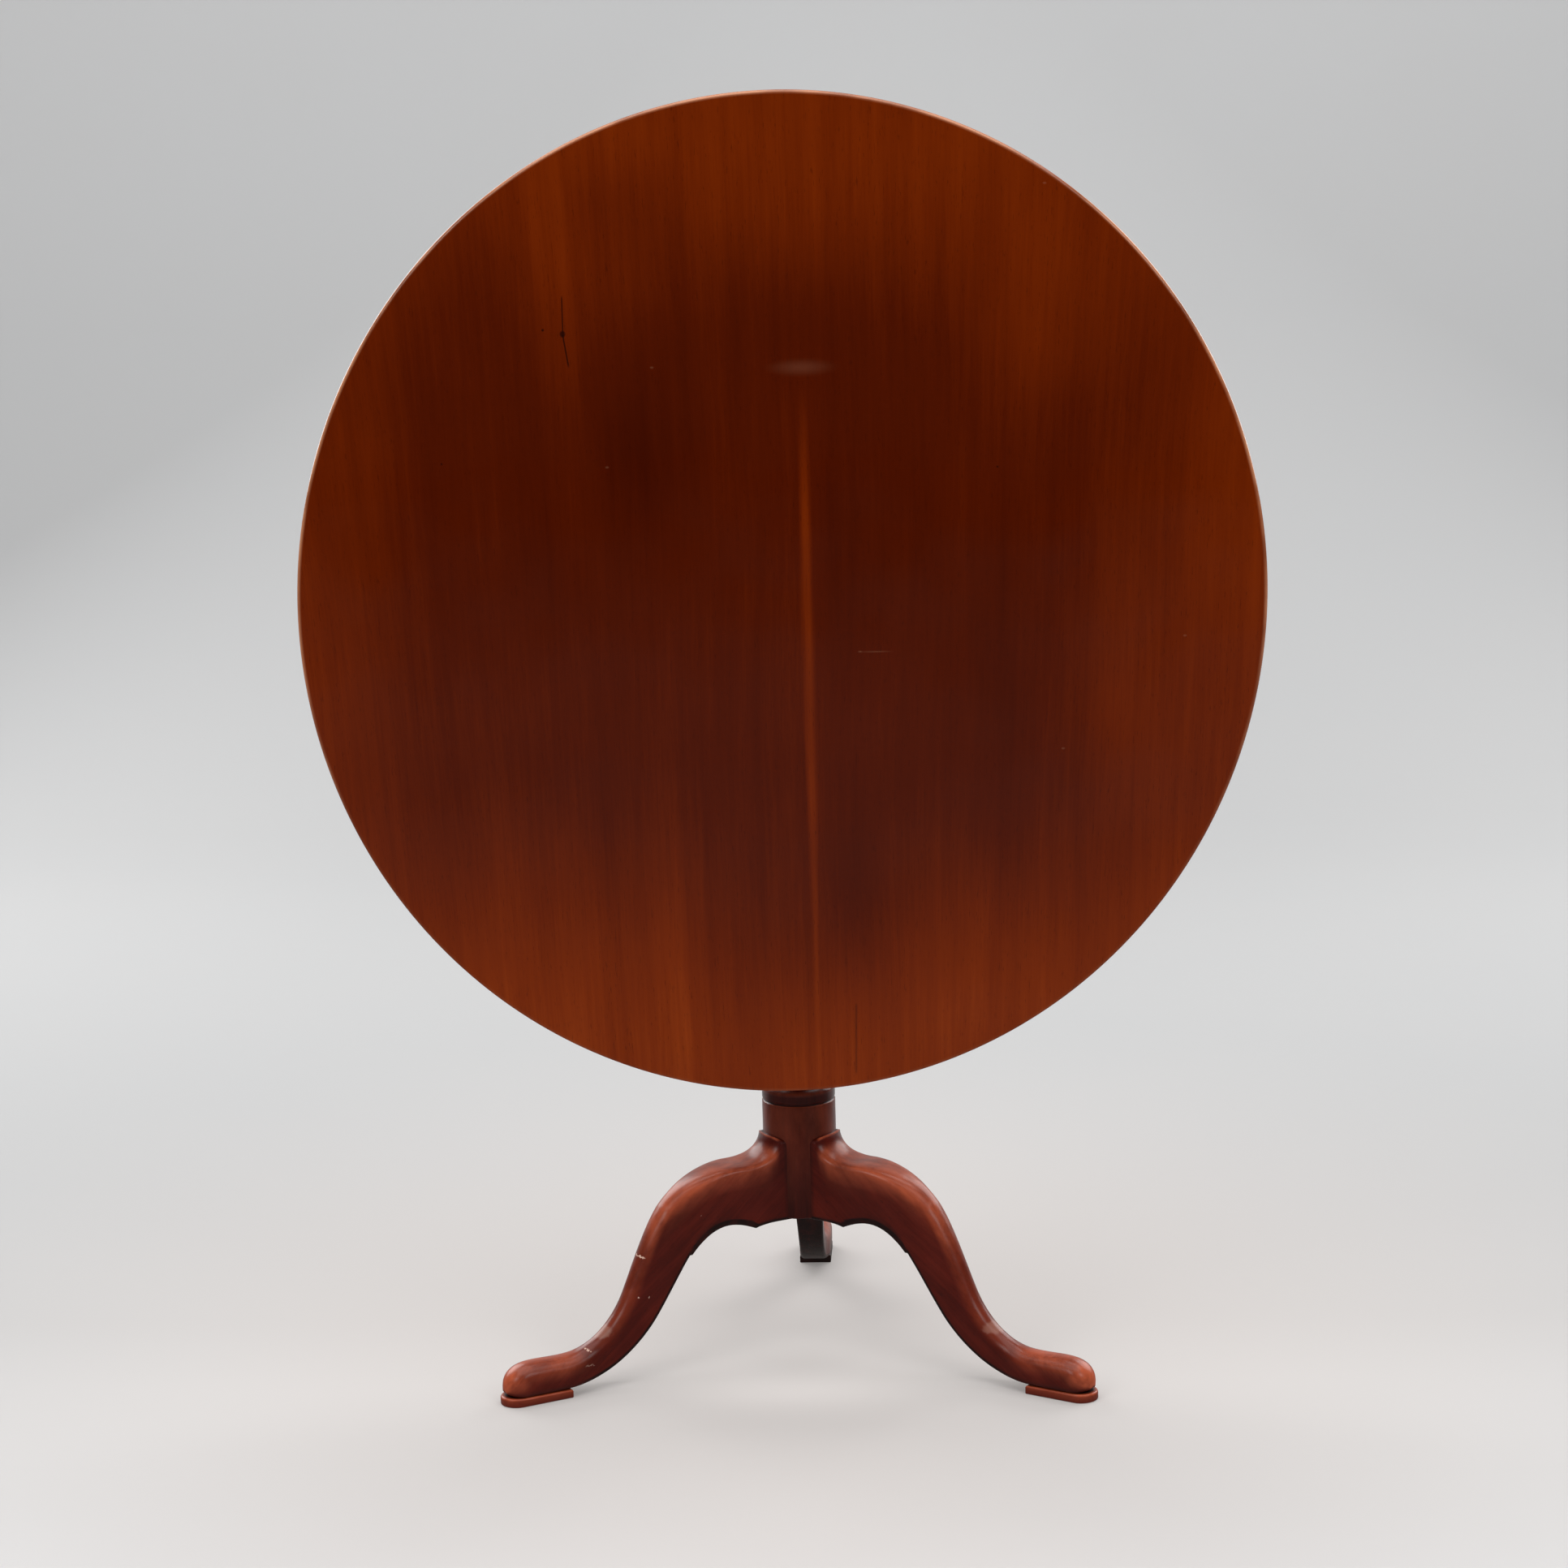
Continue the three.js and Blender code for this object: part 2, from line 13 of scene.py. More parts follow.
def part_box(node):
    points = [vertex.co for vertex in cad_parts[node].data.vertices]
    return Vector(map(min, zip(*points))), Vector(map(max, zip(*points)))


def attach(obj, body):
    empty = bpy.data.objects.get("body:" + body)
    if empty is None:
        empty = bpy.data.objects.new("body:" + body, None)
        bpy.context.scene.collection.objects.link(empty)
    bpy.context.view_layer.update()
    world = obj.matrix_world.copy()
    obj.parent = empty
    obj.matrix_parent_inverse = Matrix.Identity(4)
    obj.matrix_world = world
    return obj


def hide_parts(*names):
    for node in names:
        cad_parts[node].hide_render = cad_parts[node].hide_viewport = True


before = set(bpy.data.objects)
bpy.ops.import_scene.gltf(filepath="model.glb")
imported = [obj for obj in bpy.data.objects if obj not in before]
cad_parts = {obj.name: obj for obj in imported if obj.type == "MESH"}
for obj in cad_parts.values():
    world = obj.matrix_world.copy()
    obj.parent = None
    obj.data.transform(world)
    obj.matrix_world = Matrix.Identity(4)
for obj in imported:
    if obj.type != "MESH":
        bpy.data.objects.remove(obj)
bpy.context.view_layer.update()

MM = 0.001

# ---- Places, from the frame -----------------------------------------------------------------
column_low, column_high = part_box("column")
board_low, board_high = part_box("top_board")
shoe_low, shoe_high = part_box("shoe_rear")
block_low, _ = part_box("top_block")

AXIS = Vector(((column_low.x + column_high.x) / 2, (column_low.y + column_high.y) / 2, 0))
BOARD_CENTRE = (board_low + board_high) / 2
BOARD_FRONT = board_low.y
BOARD_BACK = board_high.y
COLUMN_BOTTOM = column_low.z
COLUMN_TOP = block_low.z - 0.3 * MM

LEG_AZIMUTHS = {"leg_left": 210, "leg_right": -30, "leg_rear": 90}


# ---- Mesh helpers ---------------------------------------------------------------------------
def new_object(name, vertices, faces, sharp_angle=40):
    """A smooth-shaded mesh object whose edges are sharp where faces meet at over sharp_angle."""
    mesh = bpy.data.meshes.new(name)
    mesh.from_pydata([tuple(v) for v in vertices], [], faces)
    mesh.validate()
    mesh.shade_smooth()
    mesh.set_sharp_from_angle(angle=math.radians(sharp_angle))
    made = bpy.data.objects.new(name, mesh)
    bpy.context.scene.collection.objects.link(made)
    return made


def add_attribute(piece, name, values):
    """Stores one number, or one vector, for each vertex."""
    kind, field = ("FLOAT", "value") if isinstance(values[0], float) else ("FLOAT_VECTOR", "vector")
    attribute = piece.data.attributes.new(name, kind, "POINT")
    flat = values if kind == "FLOAT" else [c for v in values for c in v]
    attribute.data.foreach_set(field, flat)


def skin(rings, closed_ends=True):
    """Faces that join rings of equally many points, one after the other."""
    count = len(rings[0])
    faces = []
    for i in range(len(rings) - 1):
        for j in range(count):
            a = i * count + j
            b = i * count + (j + 1) % count
            faces.append((a, b, b + count, a + count))
    if closed_ends:
        last = (len(rings) - 1) * count
        faces.append(tuple(reversed(range(count))))
        faces.append(tuple(range(last, last + count)))
    return faces


def lathe(name, profile, centre, segments=96):
    """A turned piece around +Z, from [radius, height] pairs with a radius above zero."""
    rings = []
    for radius, height in profile:
        ring = []
        for i in range(segments):
            angle = 2 * math.pi * i / segments
            ring.append(Vector((radius * math.cos(angle), radius * math.sin(angle), height)) + centre)
        rings.append(ring)
    return new_object(name, [p for ring in rings for p in ring], skin(rings))


def quarter(start, end, steps, flat_first):
    """Points of a quarter ellipse in the plane, from start to end."""
    points = []
    for i in range(1, steps):
        angle = math.pi / 2 * i / steps
        along, across = (math.sin(angle), 1 - math.cos(angle))
        if not flat_first:
            along, across = across, along
        points.append((start[0] + (end[0] - start[0]) * along, start[1] + (end[1] - start[1]) * across))
    return points


def bezier(points, t):
    """The point at t on a curve with three or four control points."""
    points = [Vector(p) for p in points]
    while len(points) > 1:
        points = [a.lerp(b, t) for a, b in zip(points, points[1:])]
    return points[0]


def smooth(low, high, value):
    """Runs smoothly from 0 at low to 1 at high."""
    t = min(1.0, max(0.0, (value - low) / (high - low)))
    return t * t * (3 - 2 * t)


# ---- Materials: building nodes --------------------------------------------------------------
def srgb(red, green, blue, light=1.0):
    """A colour given as it is seen on a screen, 0 to 255, turned into linear light."""
    def linear(c):
        c /= 255
        return c / 12.92 if c <= 0.04045 else ((c + 0.055) / 1.055) ** 2.4
    return tuple(light * linear(c) for c in (red, green, blue)) + (1.0,)


class Graph:
    """One material's nodes: each call adds a node and gives back its output."""

    def __init__(self, name):
        self.material = bpy.data.materials.new(name)
        self.material.use_nodes = True
        self.tree = self.material.node_tree
        self.tree.nodes.clear()

    def node(self, kind, inputs, **settings):
        made = self.tree.nodes.new("ShaderNode" + kind)
        for key, value in settings.items():
            setattr(made, key, value)
        for key, value in inputs.items():
            if isinstance(value, bpy.types.NodeSocket):
                self.tree.links.new(value, made.inputs[key])
            else:
                made.inputs[key].default_value = value
        return made

    def place(self):
        return self.node("TexCoord", {}).outputs["Object"]

    def attribute(self, name, output="Fac"):
        return self.node("Attribute", {}, attribute_name=name).outputs[output]

    def mapped(self, vector, centre=(0, 0, 0), size=(1, 1, 1), turn=(0, 0, 0)):
        """vector seen from centre, turned, and in units of size along each axis."""
        inputs = {"Vector": vector, "Location": centre, "Rotation": turn, "Scale": size}
        return self.node("Mapping", inputs, vector_type="TEXTURE").outputs[0]

    def noise(self, vector, size=(1, 1, 1), detail=2.0, roughness=0.5, distortion=0.0, seed=0.0):
        """Noise whose features have about that size along each axis, in metres."""
        stretched = self.mapped(vector, (seed, 1.7 * seed, 2.3 * seed), size)
        inputs = {"Vector": stretched, "Scale": 1.0, "Detail": detail,
                  "Roughness": roughness, "Distortion": distortion}
        return self.node("TexNoise", inputs).outputs["Fac"]

    def math(self, operation, a, b=0.0):
        made = self.node("Math", {}, operation=operation)
        for socket, value in zip(made.inputs, (a, b)):
            if isinstance(value, bpy.types.NodeSocket):
                self.tree.links.new(value, socket)
            else:
                socket.default_value = value
        return made.outputs[0]

    def total(self, *values):
        result = values[0]
        for value in values[1:]:
            result = self.math("ADD", result, value)
        return result

    def times(self, *values):
        result = values[0]
        for value in values[1:]:
            result = self.math("MULTIPLY", result, value)
        return result

    def spread(self, value, low, high, to_low=0.0, to_high=1.0):
        """Runs smoothly from to_low to to_high while value runs from low to high."""
        inputs = {"Value": value, "From Min": low, "From Max": high, "To Min": to_low, "To Max": to_high}
        return self.node("MapRange", inputs, interpolation_type="SMOOTHSTEP").outputs[0]

    def swing(self, value, amount):
        """A noise value, centred on 0 and scaled, so that it moves a tone up and down."""
        return self.math("MULTIPLY", self.math("SUBTRACT", value, 0.5), 2 * amount)

    def axis(self, vector, letter):
        return self.node("SeparateXYZ", {"Vector": vector}).outputs[letter]

    def joined(self, x, y, z):
        return self.node("CombineXYZ", {"X": x, "Y": y, "Z": z}).outputs[0]

    def patch(self, vector, centre, size, sharpness=1.0):
        """1 in the middle of an oval patch, falling smoothly to 0 at its edge."""
        seen = self.mapped(vector, centre, size)
        ball = self.node("TexGradient", {"Vector": seen}, gradient_type="SPHERICAL").outputs["Fac"]
        return self.spread(ball, 0.0, 1.0 / sharpness)

    def ramp(self, value, stops):
        made = self.node("ValToRGB", {"Fac": value})
        elements = made.color_ramp.elements
        while len(elements) < len(stops):
            elements.new(0.5)
        for element, (position, colour) in zip(elements, stops):
            element.position = position
            element.color = colour
        return made.outputs["Color"]

    def mix(self, factor, a, b):
        made = self.node("Mix", {}, data_type="RGBA")
        for name, value in (("Factor", factor), ("A", a), ("B", b)):
            kind = "VALUE" if name == "Factor" else "RGBA"
            socket = next(s for s in made.inputs if s.name == name and s.type == kind)
            if isinstance(value, bpy.types.NodeSocket):
                self.tree.links.new(value, socket)
            else:
                socket.default_value = value
        return next(s for s in made.outputs if s.type == "RGBA")

    def bump(self, height, distance, strength=1.0, normal=None):
        inputs = {"Height": height, "Distance": distance, "Strength": strength}
        if normal is not None:
            inputs["Normal"] = normal
        return self.node("Bump", inputs).outputs[0]

    def surface(self, **inputs):
        """Ends the material with a Principled shader, whose inputs are named with _ for a space."""
        shader = self.node("BsdfPrincipled", {key.replace("_", " "): v for key, v in inputs.items()})
        self.node("OutputMaterial", {"Surface": shader.outputs[0]})
        return self.material


# ---- Materials: mahogany --------------------------------------------------------------------
LIGHT_ON_FACE = 1.3  # brings screen colours to the albedo that shows them in this light
LIGHT_ON_BASE = 1.2  # and the same for the base


def board_tone(graph, place):
    """How light the polished face is, from 0 to 1: paler towards the rim, with long soft bands."""
    x = graph.axis(place, "X")
    z = graph.axis(place, "Z")
    # The grain leans a little inwards as it goes down, and wanders.
    lean = graph.math("MULTIPLY", graph.math("MULTIPLY", x, z), -0.16)
    wander = graph.swing(graph.noise(place, (0.25, 1, 0.5), 1), 0.012)
    grain = graph.joined(graph.total(x, lean, wander), 0.0, z)
    rim_sides = graph.spread(graph.math("ABSOLUTE", x), 0.30, 0.47, 0.0, 0.30)
    rim_ends = graph.total(graph.spread(z, 0.17, 0.44, 0.0, 0.40), graph.spread(z, -0.14, -0.42, 0.0, 0.54))
    parts = [
        0.27,
        rim_sides,
        rim_ends,
        graph.swing(graph.noise(grain, (0.055, 1, 0.75), 2, 0.5, 0.3, 3.1), 0.16),
        graph.swing(graph.noise(grain, (0.014, 1, 0.35), 3, 0.6, 0.0, 7.7), 0.14),
        graph.swing(graph.noise(grain, (0.0045, 1, 0.14), 2, 0.6, 0.0, 9.1), 0.08),
        graph.swing(graph.noise(grain, (0.0017, 1, 0.05), 2, 0.6, 0.0, 1.3), 0.08),
        graph.swing(graph.noise(place, (0.12, 1, 0.16), 2, 0.5, 0.0, 5.9), 0.10),
    ]
    # Soft dark and light clouds in the wood: x and z of the middle, half sizes, strength.
    clouds = [
        (-0.125, 0.150, 0.085, 0.150, -0.22),
        (0.070, -0.265, 0.050, 0.150, -0.20),
        (0.060, 0.060, 0.060, 0.200, -0.08),
        (0.205, -0.130, 0.045, 0.170, -0.07),
        (-0.215, 0.060, 0.050, 0.200, -0.12),
        (-0.265, 0.310, 0.060, 0.110, -0.12),
        (-0.200, 0.300, 0.050, 0.150, 0.07),
        (0.240, 0.250, 0.090, 0.160, 0.22),
        (0.020, -0.320, 0.170, 0.140, -0.20),
        (-0.130, 0.370, 0.080, 0.080, -0.14),
        (0.000, 0.270, 0.220, 0.110, -0.12),
        (0.360, 0.000, 0.150, 0.400, 0.14),
        (0.330, -0.120, 0.090, 0.150, 0.13),
    ]
    for cx, cz, wide, high, strength in clouds:
        cloud = graph.patch(grain, (cx, 0, cz), (wide, 10, high))
        parts.append(graph.times(cloud, strength))
    return graph.total(*parts), grain


def slanted_line(graph, place, start, end, width):
    """1 along a nearly upright line on the face, given by the x and z of its two ends."""
    x = graph.axis(place, "X")
    z = graph.axis(place, "Z")
    (x0, z0), (x1, z1) = start, end
    slope = (x1 - x0) / (z1 - z0)
    middle = graph.total(graph.math("MULTIPLY", z, slope), x0 - slope * z0)
    away = graph.math("ABSOLUTE", graph.math("SUBTRACT", x, middle))
    across = graph.spread(away, 0.4 * width, 0.9 * width, 1.0, 0.0)
    half = abs(z1 - z0) / 2
    beyond = graph.math("ABSOLUTE", graph.math("SUBTRACT", z, (z0 + z1) / 2))
    return graph.times(across, graph.spread(beyond, half - 0.004, half + 0.001, 1.0, 0.0))


def polished_top():
    """French-polished mahogany of the top's face: bands, a pale streak, a crack and small marks."""
    graph = Graph("mahogany_polished_top")
    place = graph.mapped(graph.place(), BOARD_CENTRE)
    tone, grain = board_tone(graph, place)
    x = graph.axis(place, "X")
    z = graph.axis(place, "Z")

    # A narrow pale streak runs down the middle, widest at half height.
    streak_at = graph.math("SUBTRACT", x, 0.0262)
    swell = graph.spread(graph.math("ABSOLUTE", graph.total(z, 0.03)), 0.08, 0.30, 0.0068, 0.0036)
    share = graph.math("DIVIDE", graph.math("ABSOLUTE", streak_at), swell)
    streak = graph.times(
        graph.spread(share, 0.1, 1.2, 1.0, 0.0),
        graph.spread(z, 0.07, 0.235, 1.0, 0.0),
        graph.spread(z, -0.47, -0.16, 0.30, 1.0),
        graph.spread(graph.noise(place, (0.01, 1, 0.2)), 0.25, 0.6, 0.55, 1.0),
    )
    tone = graph.total(tone, graph.times(streak, 0.44))
    colour = graph.ramp(tone, [
        (0.0, srgb(54, 9, 0, LIGHT_ON_FACE)),
        (0.3, srgb(68, 15, 0, LIGHT_ON_FACE)),
        (0.55, srgb(86, 24, 0, LIGHT_ON_FACE)),
        (0.8, srgb(104, 34, 1, LIGHT_ON_FACE)),
        (1.0, srgb(122, 46, 5, LIGHT_ON_FACE)),
    ])

    # Open pores: short dark dashes along the grain.
    pores = graph.spread(graph.noise(grain, (0.0009, 1, 0.009), 1, 0.5, 0.0, 4.4), 0.66, 0.74)
    colour = graph.mix(graph.times(pores, 0.35), colour, srgb(40, 6, 0, LIGHT_ON_FACE))

    # A crack with a kink at a small knot, a thin dark line low down, and specks.
    dark = [
        slanted_line(graph, place, (-0.1928, 0.290), (-0.1930, 0.254), 0.0009),
        slanted_line(graph, place, (-0.1935, 0.256), (-0.1886, 0.223), 0.0011),
        graph.patch(place, (-0.1933, 0, 0.2545), (0.0034, 1, 0.0040), 2),
        graph.patch(place, (-0.2115, 0, 0.2585), (0.0016, 1, 0.0016), 2),
        graph.times(slanted_line(graph, place, (0.0632, -0.384), (0.0616, -0.455), 0.0016), 0.45),
        graph.patch(place, (0.2052, 0, 0.1235), (0.0018, 1, 0.0018), 1),
        graph.patch(place, (-0.3108, 0, 0.1369), (0.0016, 1, 0.0020), 1),
    ]
    for mark in dark:
        colour = graph.mix(graph.times(mark, 0.8), colour, srgb(22, 4, 2, LIGHT_ON_FACE))

    # Scuffs in the polish: a faint bar at the head of the streak, a scratch and pale specks.
    pale = [
        (graph.patch(place, (0.026, 0, 0.219), (0.038, 1, 0.010)), 0.07),
        (graph.patch(place, (0.089, 0, -0.047), (0.020, 1, 0.0012)), 0.09),
        (graph.patch(place, (0.0745, 0, -0.0467), (0.003, 1, 0.0012)), 0.14),
    ]
    specks = [(-0.1118, 0.2219), (-0.1564, 0.1306), (0.3766, -0.0373), (0.2625, -0.1418), (0.252, 0.381)]
    for cx, cz in specks:
        pale.append((graph.patch(place, (cx, 0, cz), (0.0022, 1, 0.0013), 2), 0.09))
    for mark, strength in pale:
        colour = graph.mix(graph.times(mark, strength), colour, srgb(170, 120, 90, LIGHT_ON_FACE))

    # Painted highlight: the rim's arris is paler, most of all along the top, where it catches the light from
    # above.
    rubbed_and_highlit = graph.times(
        graph.attribute("wear_and_highlight"),
        graph.spread(graph.noise(place, (0.06, 0.06, 0.06), 3), 0.3, 0.62, 0.35, 1.0),
        graph.spread(z, -0.30, 0.10, 0.1, 0.75),
    )
    colour = graph.mix(rubbed_and_highlit, colour, srgb(176, 118, 84, 1.4))

    ripple = graph.noise(place, (0.16, 1, 0.22), 2, 0.5)
    fine = graph.noise(grain, (0.0012, 1, 0.03), 2, 0.6)
    bent = graph.bump(ripple, 0.0022, 1.0)
    bent = graph.bump(fine, 0.00002, 1.0, bent)
    roughness = graph.spread(graph.noise(place, (0.05, 1, 0.07), 3), 0.3, 0.7, 0.36, 0.46)
    return graph.surface(
        Base_Color=colour, Roughness=roughness, Normal=bent, Specular_IOR_Level=0.0,
        Coat_Weight=0.85, Coat_Roughness=0.07, Coat_IOR=1.5, Coat_Normal=bent,
    )


def base_mahogany(name, seed, vector=None, lean=0.0, marks=(), depth=0.40):
    """Darker, redder mahogany of the base. vector holds the piece's own plank coordinates, and lean
    turns the grain in them. Two attributes: one lightens what hands and feet rub, and paints light on
    the tops of the legs and highlights on their shoulders; the other darkens corners, hollows and lower
    edges as painted shade, with some dirt. depth is the middle tone, from 0 (dark) to 1."""
    graph = Graph("mahogany_" + name)
    place = graph.attribute(vector, "Vector") if vector else graph.mapped(graph.place(), AXIS)
    plank = graph.mapped(place, turn=(0, lean, 0))
    wander = graph.swing(graph.noise(plank, (0.06, 0.06, 0.12), 2, seed=seed), 0.006)
    grain = graph.node("VectorMath", {0: plank, 1: graph.joined(wander, wander, 0.0)},
                       operation="ADD").outputs[0]
    wear_and_highlight = graph.attribute("wear_and_highlight")
    tone = graph.total(
        depth,
        graph.swing(graph.noise(grain, (0.014, 0.014, 0.22), 3, 0.55, 0.4, seed + 2), 0.30),
        graph.swing(graph.noise(grain, (0.0025, 0.0025, 0.06), 2, 0.6, 0.0, seed + 5), 0.14),
        graph.swing(graph.noise(place, (0.05, 0.05, 0.05), 2, 0.5, 0.0, seed + 9), 0.22),
    )
    colour = graph.ramp(tone, [
        (0.0, srgb(42, 4, 1, LIGHT_ON_BASE)),
        (0.35, srgb(68, 11, 3, LIGHT_ON_BASE)),
        (0.7, srgb(92, 22, 8, LIGHT_ON_BASE)),
        (1.0, srgb(122, 40, 16, LIGHT_ON_BASE)),
    ])
    pores = graph.spread(graph.noise(grain, (0.0009, 0.0009, 0.008), 1, 0.5, 0.0, seed + 1), 0.64, 0.72)
    colour = graph.mix(graph.times(pores, 0.4), colour, srgb(30, 6, 4, LIGHT_ON_BASE))
    # Pale wear, and on the legs also painted light on the tops and painted highlights on the shoulders.
    rubbed_and_highlit = graph.times(wear_and_highlight, graph.spread(graph.noise(grain, (0.02, 0.02, 0.05), 4, 0.65, 0.0, seed + 3),
                                            0.28, 0.70, 0.35, 1.0))
    colour = graph.mix(rubbed_and_highlit, colour, srgb(176, 82, 50, LIGHT_ON_BASE))
    # Painted shade, with some dirt: dark in hollows, on lower edges, under the feet and where parts meet.
    dirt_and_shade = graph.times(graph.attribute("dirt_and_shade"),
                       graph.spread(graph.noise(place, (0.012, 0.012, 0.012), 3), 0.25, 0.6, 0.7, 1.0))
    colour = graph.mix(dirt_and_shade, colour, srgb(20, 7, 6, LIGHT_ON_BASE))
    for centre, size, strength in marks:
        rough_edge = graph.swing(graph.noise(place, (0.004, 0.004, 0.004), 2), 0.004)
        seen = graph.node("VectorMath", {0: place, 1: graph.joined(rough_edge, 0.0, rough_edge)},
                          operation="ADD").outputs[0]
        nick = graph.patch(seen, centre, size, 2.5)
        colour = graph.mix(graph.times(nick, strength), colour, srgb(214, 178, 158, 1.2))
    uneven = graph.noise(place, (0.035, 0.035, 0.035), 2, 0.5, 0.0, seed)
    bent = graph.bump(uneven, 0.0012)
    bent = graph.bump(graph.noise(grain, (0.0012, 0.0012, 0.02), 2, 0.6), 0.00005, 1.0, bent)
    roughness = graph.total(
        graph.spread(graph.noise(place, (0.02, 0.02, 0.03), 3, 0.6), 0.3, 0.7, 0.30, 0.46),
        graph.times(rubbed_and_highlit, 0.10),
        graph.times(dirt_and_shade, 0.25),
    )
    return graph.surface(
        Base_Color=colour, Roughness=roughness, Normal=bent, Specular_IOR_Level=0.04,
        Coat_Weight=0.55, Coat_Roughness=0.27, Coat_IOR=1.5, Coat_Normal=bent,
    )


def underside_mahogany(name, seed, along="Z"):
    """Unpolished mahogany: brown, dry, with plane marks across and grain along one axis."""
    graph = Graph("mahogany_dry_" + name)
    place = graph.place()
    turned = place if along == "Z" else graph.mapped(place, turn=(0, math.pi / 2, 0))
    grain = graph.mapped(turned, centre=(seed, 0, 0))
    tone = graph.total(
        0.45,
        graph.swing(graph.noise(grain, (0.03, 0.03, 0.5), 3, 0.55, 0.4, seed), 0.35),
        graph.swing(graph.noise(grain, (0.0025, 0.0025, 0.06), 2, 0.6, 0.0, seed + 4), 0.18),
        graph.swing(graph.noise(place, (0.15, 0.15, 0.15), 3, 0.6), 0.25),
    )
    colour = graph.ramp(tone, [
        (0.0, srgb(58, 30, 20, 1.3)),
        (0.5, srgb(92, 52, 34, 1.3)),
        (1.0, srgb(134, 86, 58, 1.3)),
    ])
    pores = graph.spread(graph.noise(grain, (0.001, 0.001, 0.01), 1, 0.5, 0.0, seed), 0.62, 0.70)
    colour = graph.mix(graph.times(pores, 0.5), colour, srgb(30, 15, 10, 1.0))
    planed = graph.noise(grain, (0.045, 0.045, 0.6), 1, 0.5, 0.0, seed + 1)
    bent = graph.bump(planed, 0.0012)
    bent = graph.bump(graph.noise(grain, (0.0014, 0.0014, 0.03), 2, 0.6), 0.00012, 1.0, bent)
    roughness = graph.spread(graph.noise(place, (0.05, 0.05, 0.05), 3), 0.3, 0.7, 0.52, 0.70)
    return graph.surface(Base_Color=colour, Roughness=roughness, Normal=bent, Specular_IOR_Level=0.35)


# ---- Materials: metal -----------------------------------------------------------------------
def aged_metal(name, bright, dull, stain, roughness, scale=0.006):
    """Old brass or steel: bright where it is rubbed, dull and stained elsewhere, lightly scratched."""
    graph = Graph(name)
    place = graph.place()
    dullness = graph.spread(graph.noise(place, (scale, scale, scale), 4, 0.6), 0.32, 0.66)
    colour = graph.mix(dullness, bright, dull)
    stains = graph.spread(graph.noise(place, (scale / 2, scale / 2, scale / 2), 3, 0.7, 0.5, 2.0), 0.56, 0.72)
    colour = graph.mix(graph.times(stains, 0.8), colour, stain)
    scratches = graph.noise(place, (0.0004, 0.006, 0.006), 2, 0.6)
    bent = graph.bump(scratches, 0.00003)
    bent = graph.bump(graph.noise(place, (0.002, 0.002, 0.002), 2), 0.00008, 1.0, bent)
    rough = graph.total(
        graph.times(dullness, 0.22),
        graph.spread(scratches, 0.3, 0.7, roughness - 0.06, roughness + 0.06),
        graph.times(stains, 0.15),
    )
    return graph.surface(Base_Color=colour, Metallic=1.0, Roughness=rough, Normal=bent)


# ---- Top board ------------------------------------------------------------------------------
RIM_SEGMENTS = 288
OVAL_HALVES = (453 * MM, 471.5 * MM)  # half the short and half the long axis
OVAL_LEAN = math.radians(9.4)  # of the long axis, to the right
FACE_ROUND = (3.2 * MM, 4 * MM)  # inset and depth of the small round at the polished face
BACK_ROUND = (9 * MM, 10 * MM)  # and of the broad one at the underside


def make_top_board():
    """The oval board, with its rounded rim and a face that is very slightly uneven."""
    half_short, half_long = OVAL_HALVES
    lean = Matrix.Rotation(OVAL_LEAN, 3, "Y")
    depth = BOARD_BACK - BOARD_FRONT
    inset, drop = FACE_ROUND
    back_inset, back_drop = BACK_ROUND

    def ring(inside, y, scale=1.0):
        points = []
        for i in range(RIM_SEGMENTS):
            angle = 2 * math.pi * i / RIM_SEGMENTS
            short = scale * (half_short - inside) * math.cos(angle)
            long = scale * (half_long - inside) * math.sin(angle)
            flat = lean @ Vector((short, 0, long))
            points.append(Vector((BOARD_CENTRE.x, BOARD_FRONT + y, BOARD_CENTRE.z)) + flat)
        return points

    rings = [ring(inset, 0.0, scale) for scale in (0.02, 0.1, 0.2, 0.4, 0.6, 0.8, 0.9, 0.97)]
    rings.append(ring(inset + 0.9 * MM, 0.0))
    wear_and_highlight = [0.0] * len(rings)
    rim = [(inset, 0.0)] + quarter((inset, 0.0), (0.0, drop), 8, True) + [(0.0, drop)]
    rim += [(0.0, depth - back_drop)]
    rim += quarter((0.0, depth - back_drop), (back_inset, depth), 10, False) + [(back_inset, depth)]
    rings += [ring(inside, y) for inside, y in rim]
    # How strongly each rim ring takes the painted highlight on the arris.
    wear_and_highlight += [0.25, 0.5, 0.8, 1.0, 1.0, 1.0, 0.8, 0.6, 0.45] + [0.0] * (len(rim) - 9)
    rings += [ring(back_inset, depth, scale) for scale in (0.9, 0.5, 0.02)]
    wear_and_highlight += [0.0] * 3
    piece = new_object("top_board_fine", [p for r in rings for p in r], skin(rings), 60)
    add_attribute(piece, "wear_and_highlight", [w for w in wear_and_highlight for _ in range(RIM_SEGMENTS)])

    # The back is bare wood, from where the broad round ends.
    piece.data.materials.append(polished_top())
    piece.data.materials.append(underside_mahogany("top_back", 0.7))
    for polygon in piece.data.polygons:
        if polygon.center.y > BOARD_BACK - 1 * MM:
            polygon.material_index = 1
    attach(piece, "top")
    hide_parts("top_board")


# ---- Column ---------------------------------------------------------------------------------
DRUM_RADIUS = 36.2  # the drum that the legs join


def bulge(start, end, depth, steps):
    """Points on an arc bulging out or in between two points of a turned profile."""
    middle = ((start[0] + end[0]) / 2 + 2 * depth, (start[1] + end[1]) / 2)
    return [tuple(bezier([start, middle, end], i / steps)) for i in range(steps + 1)]


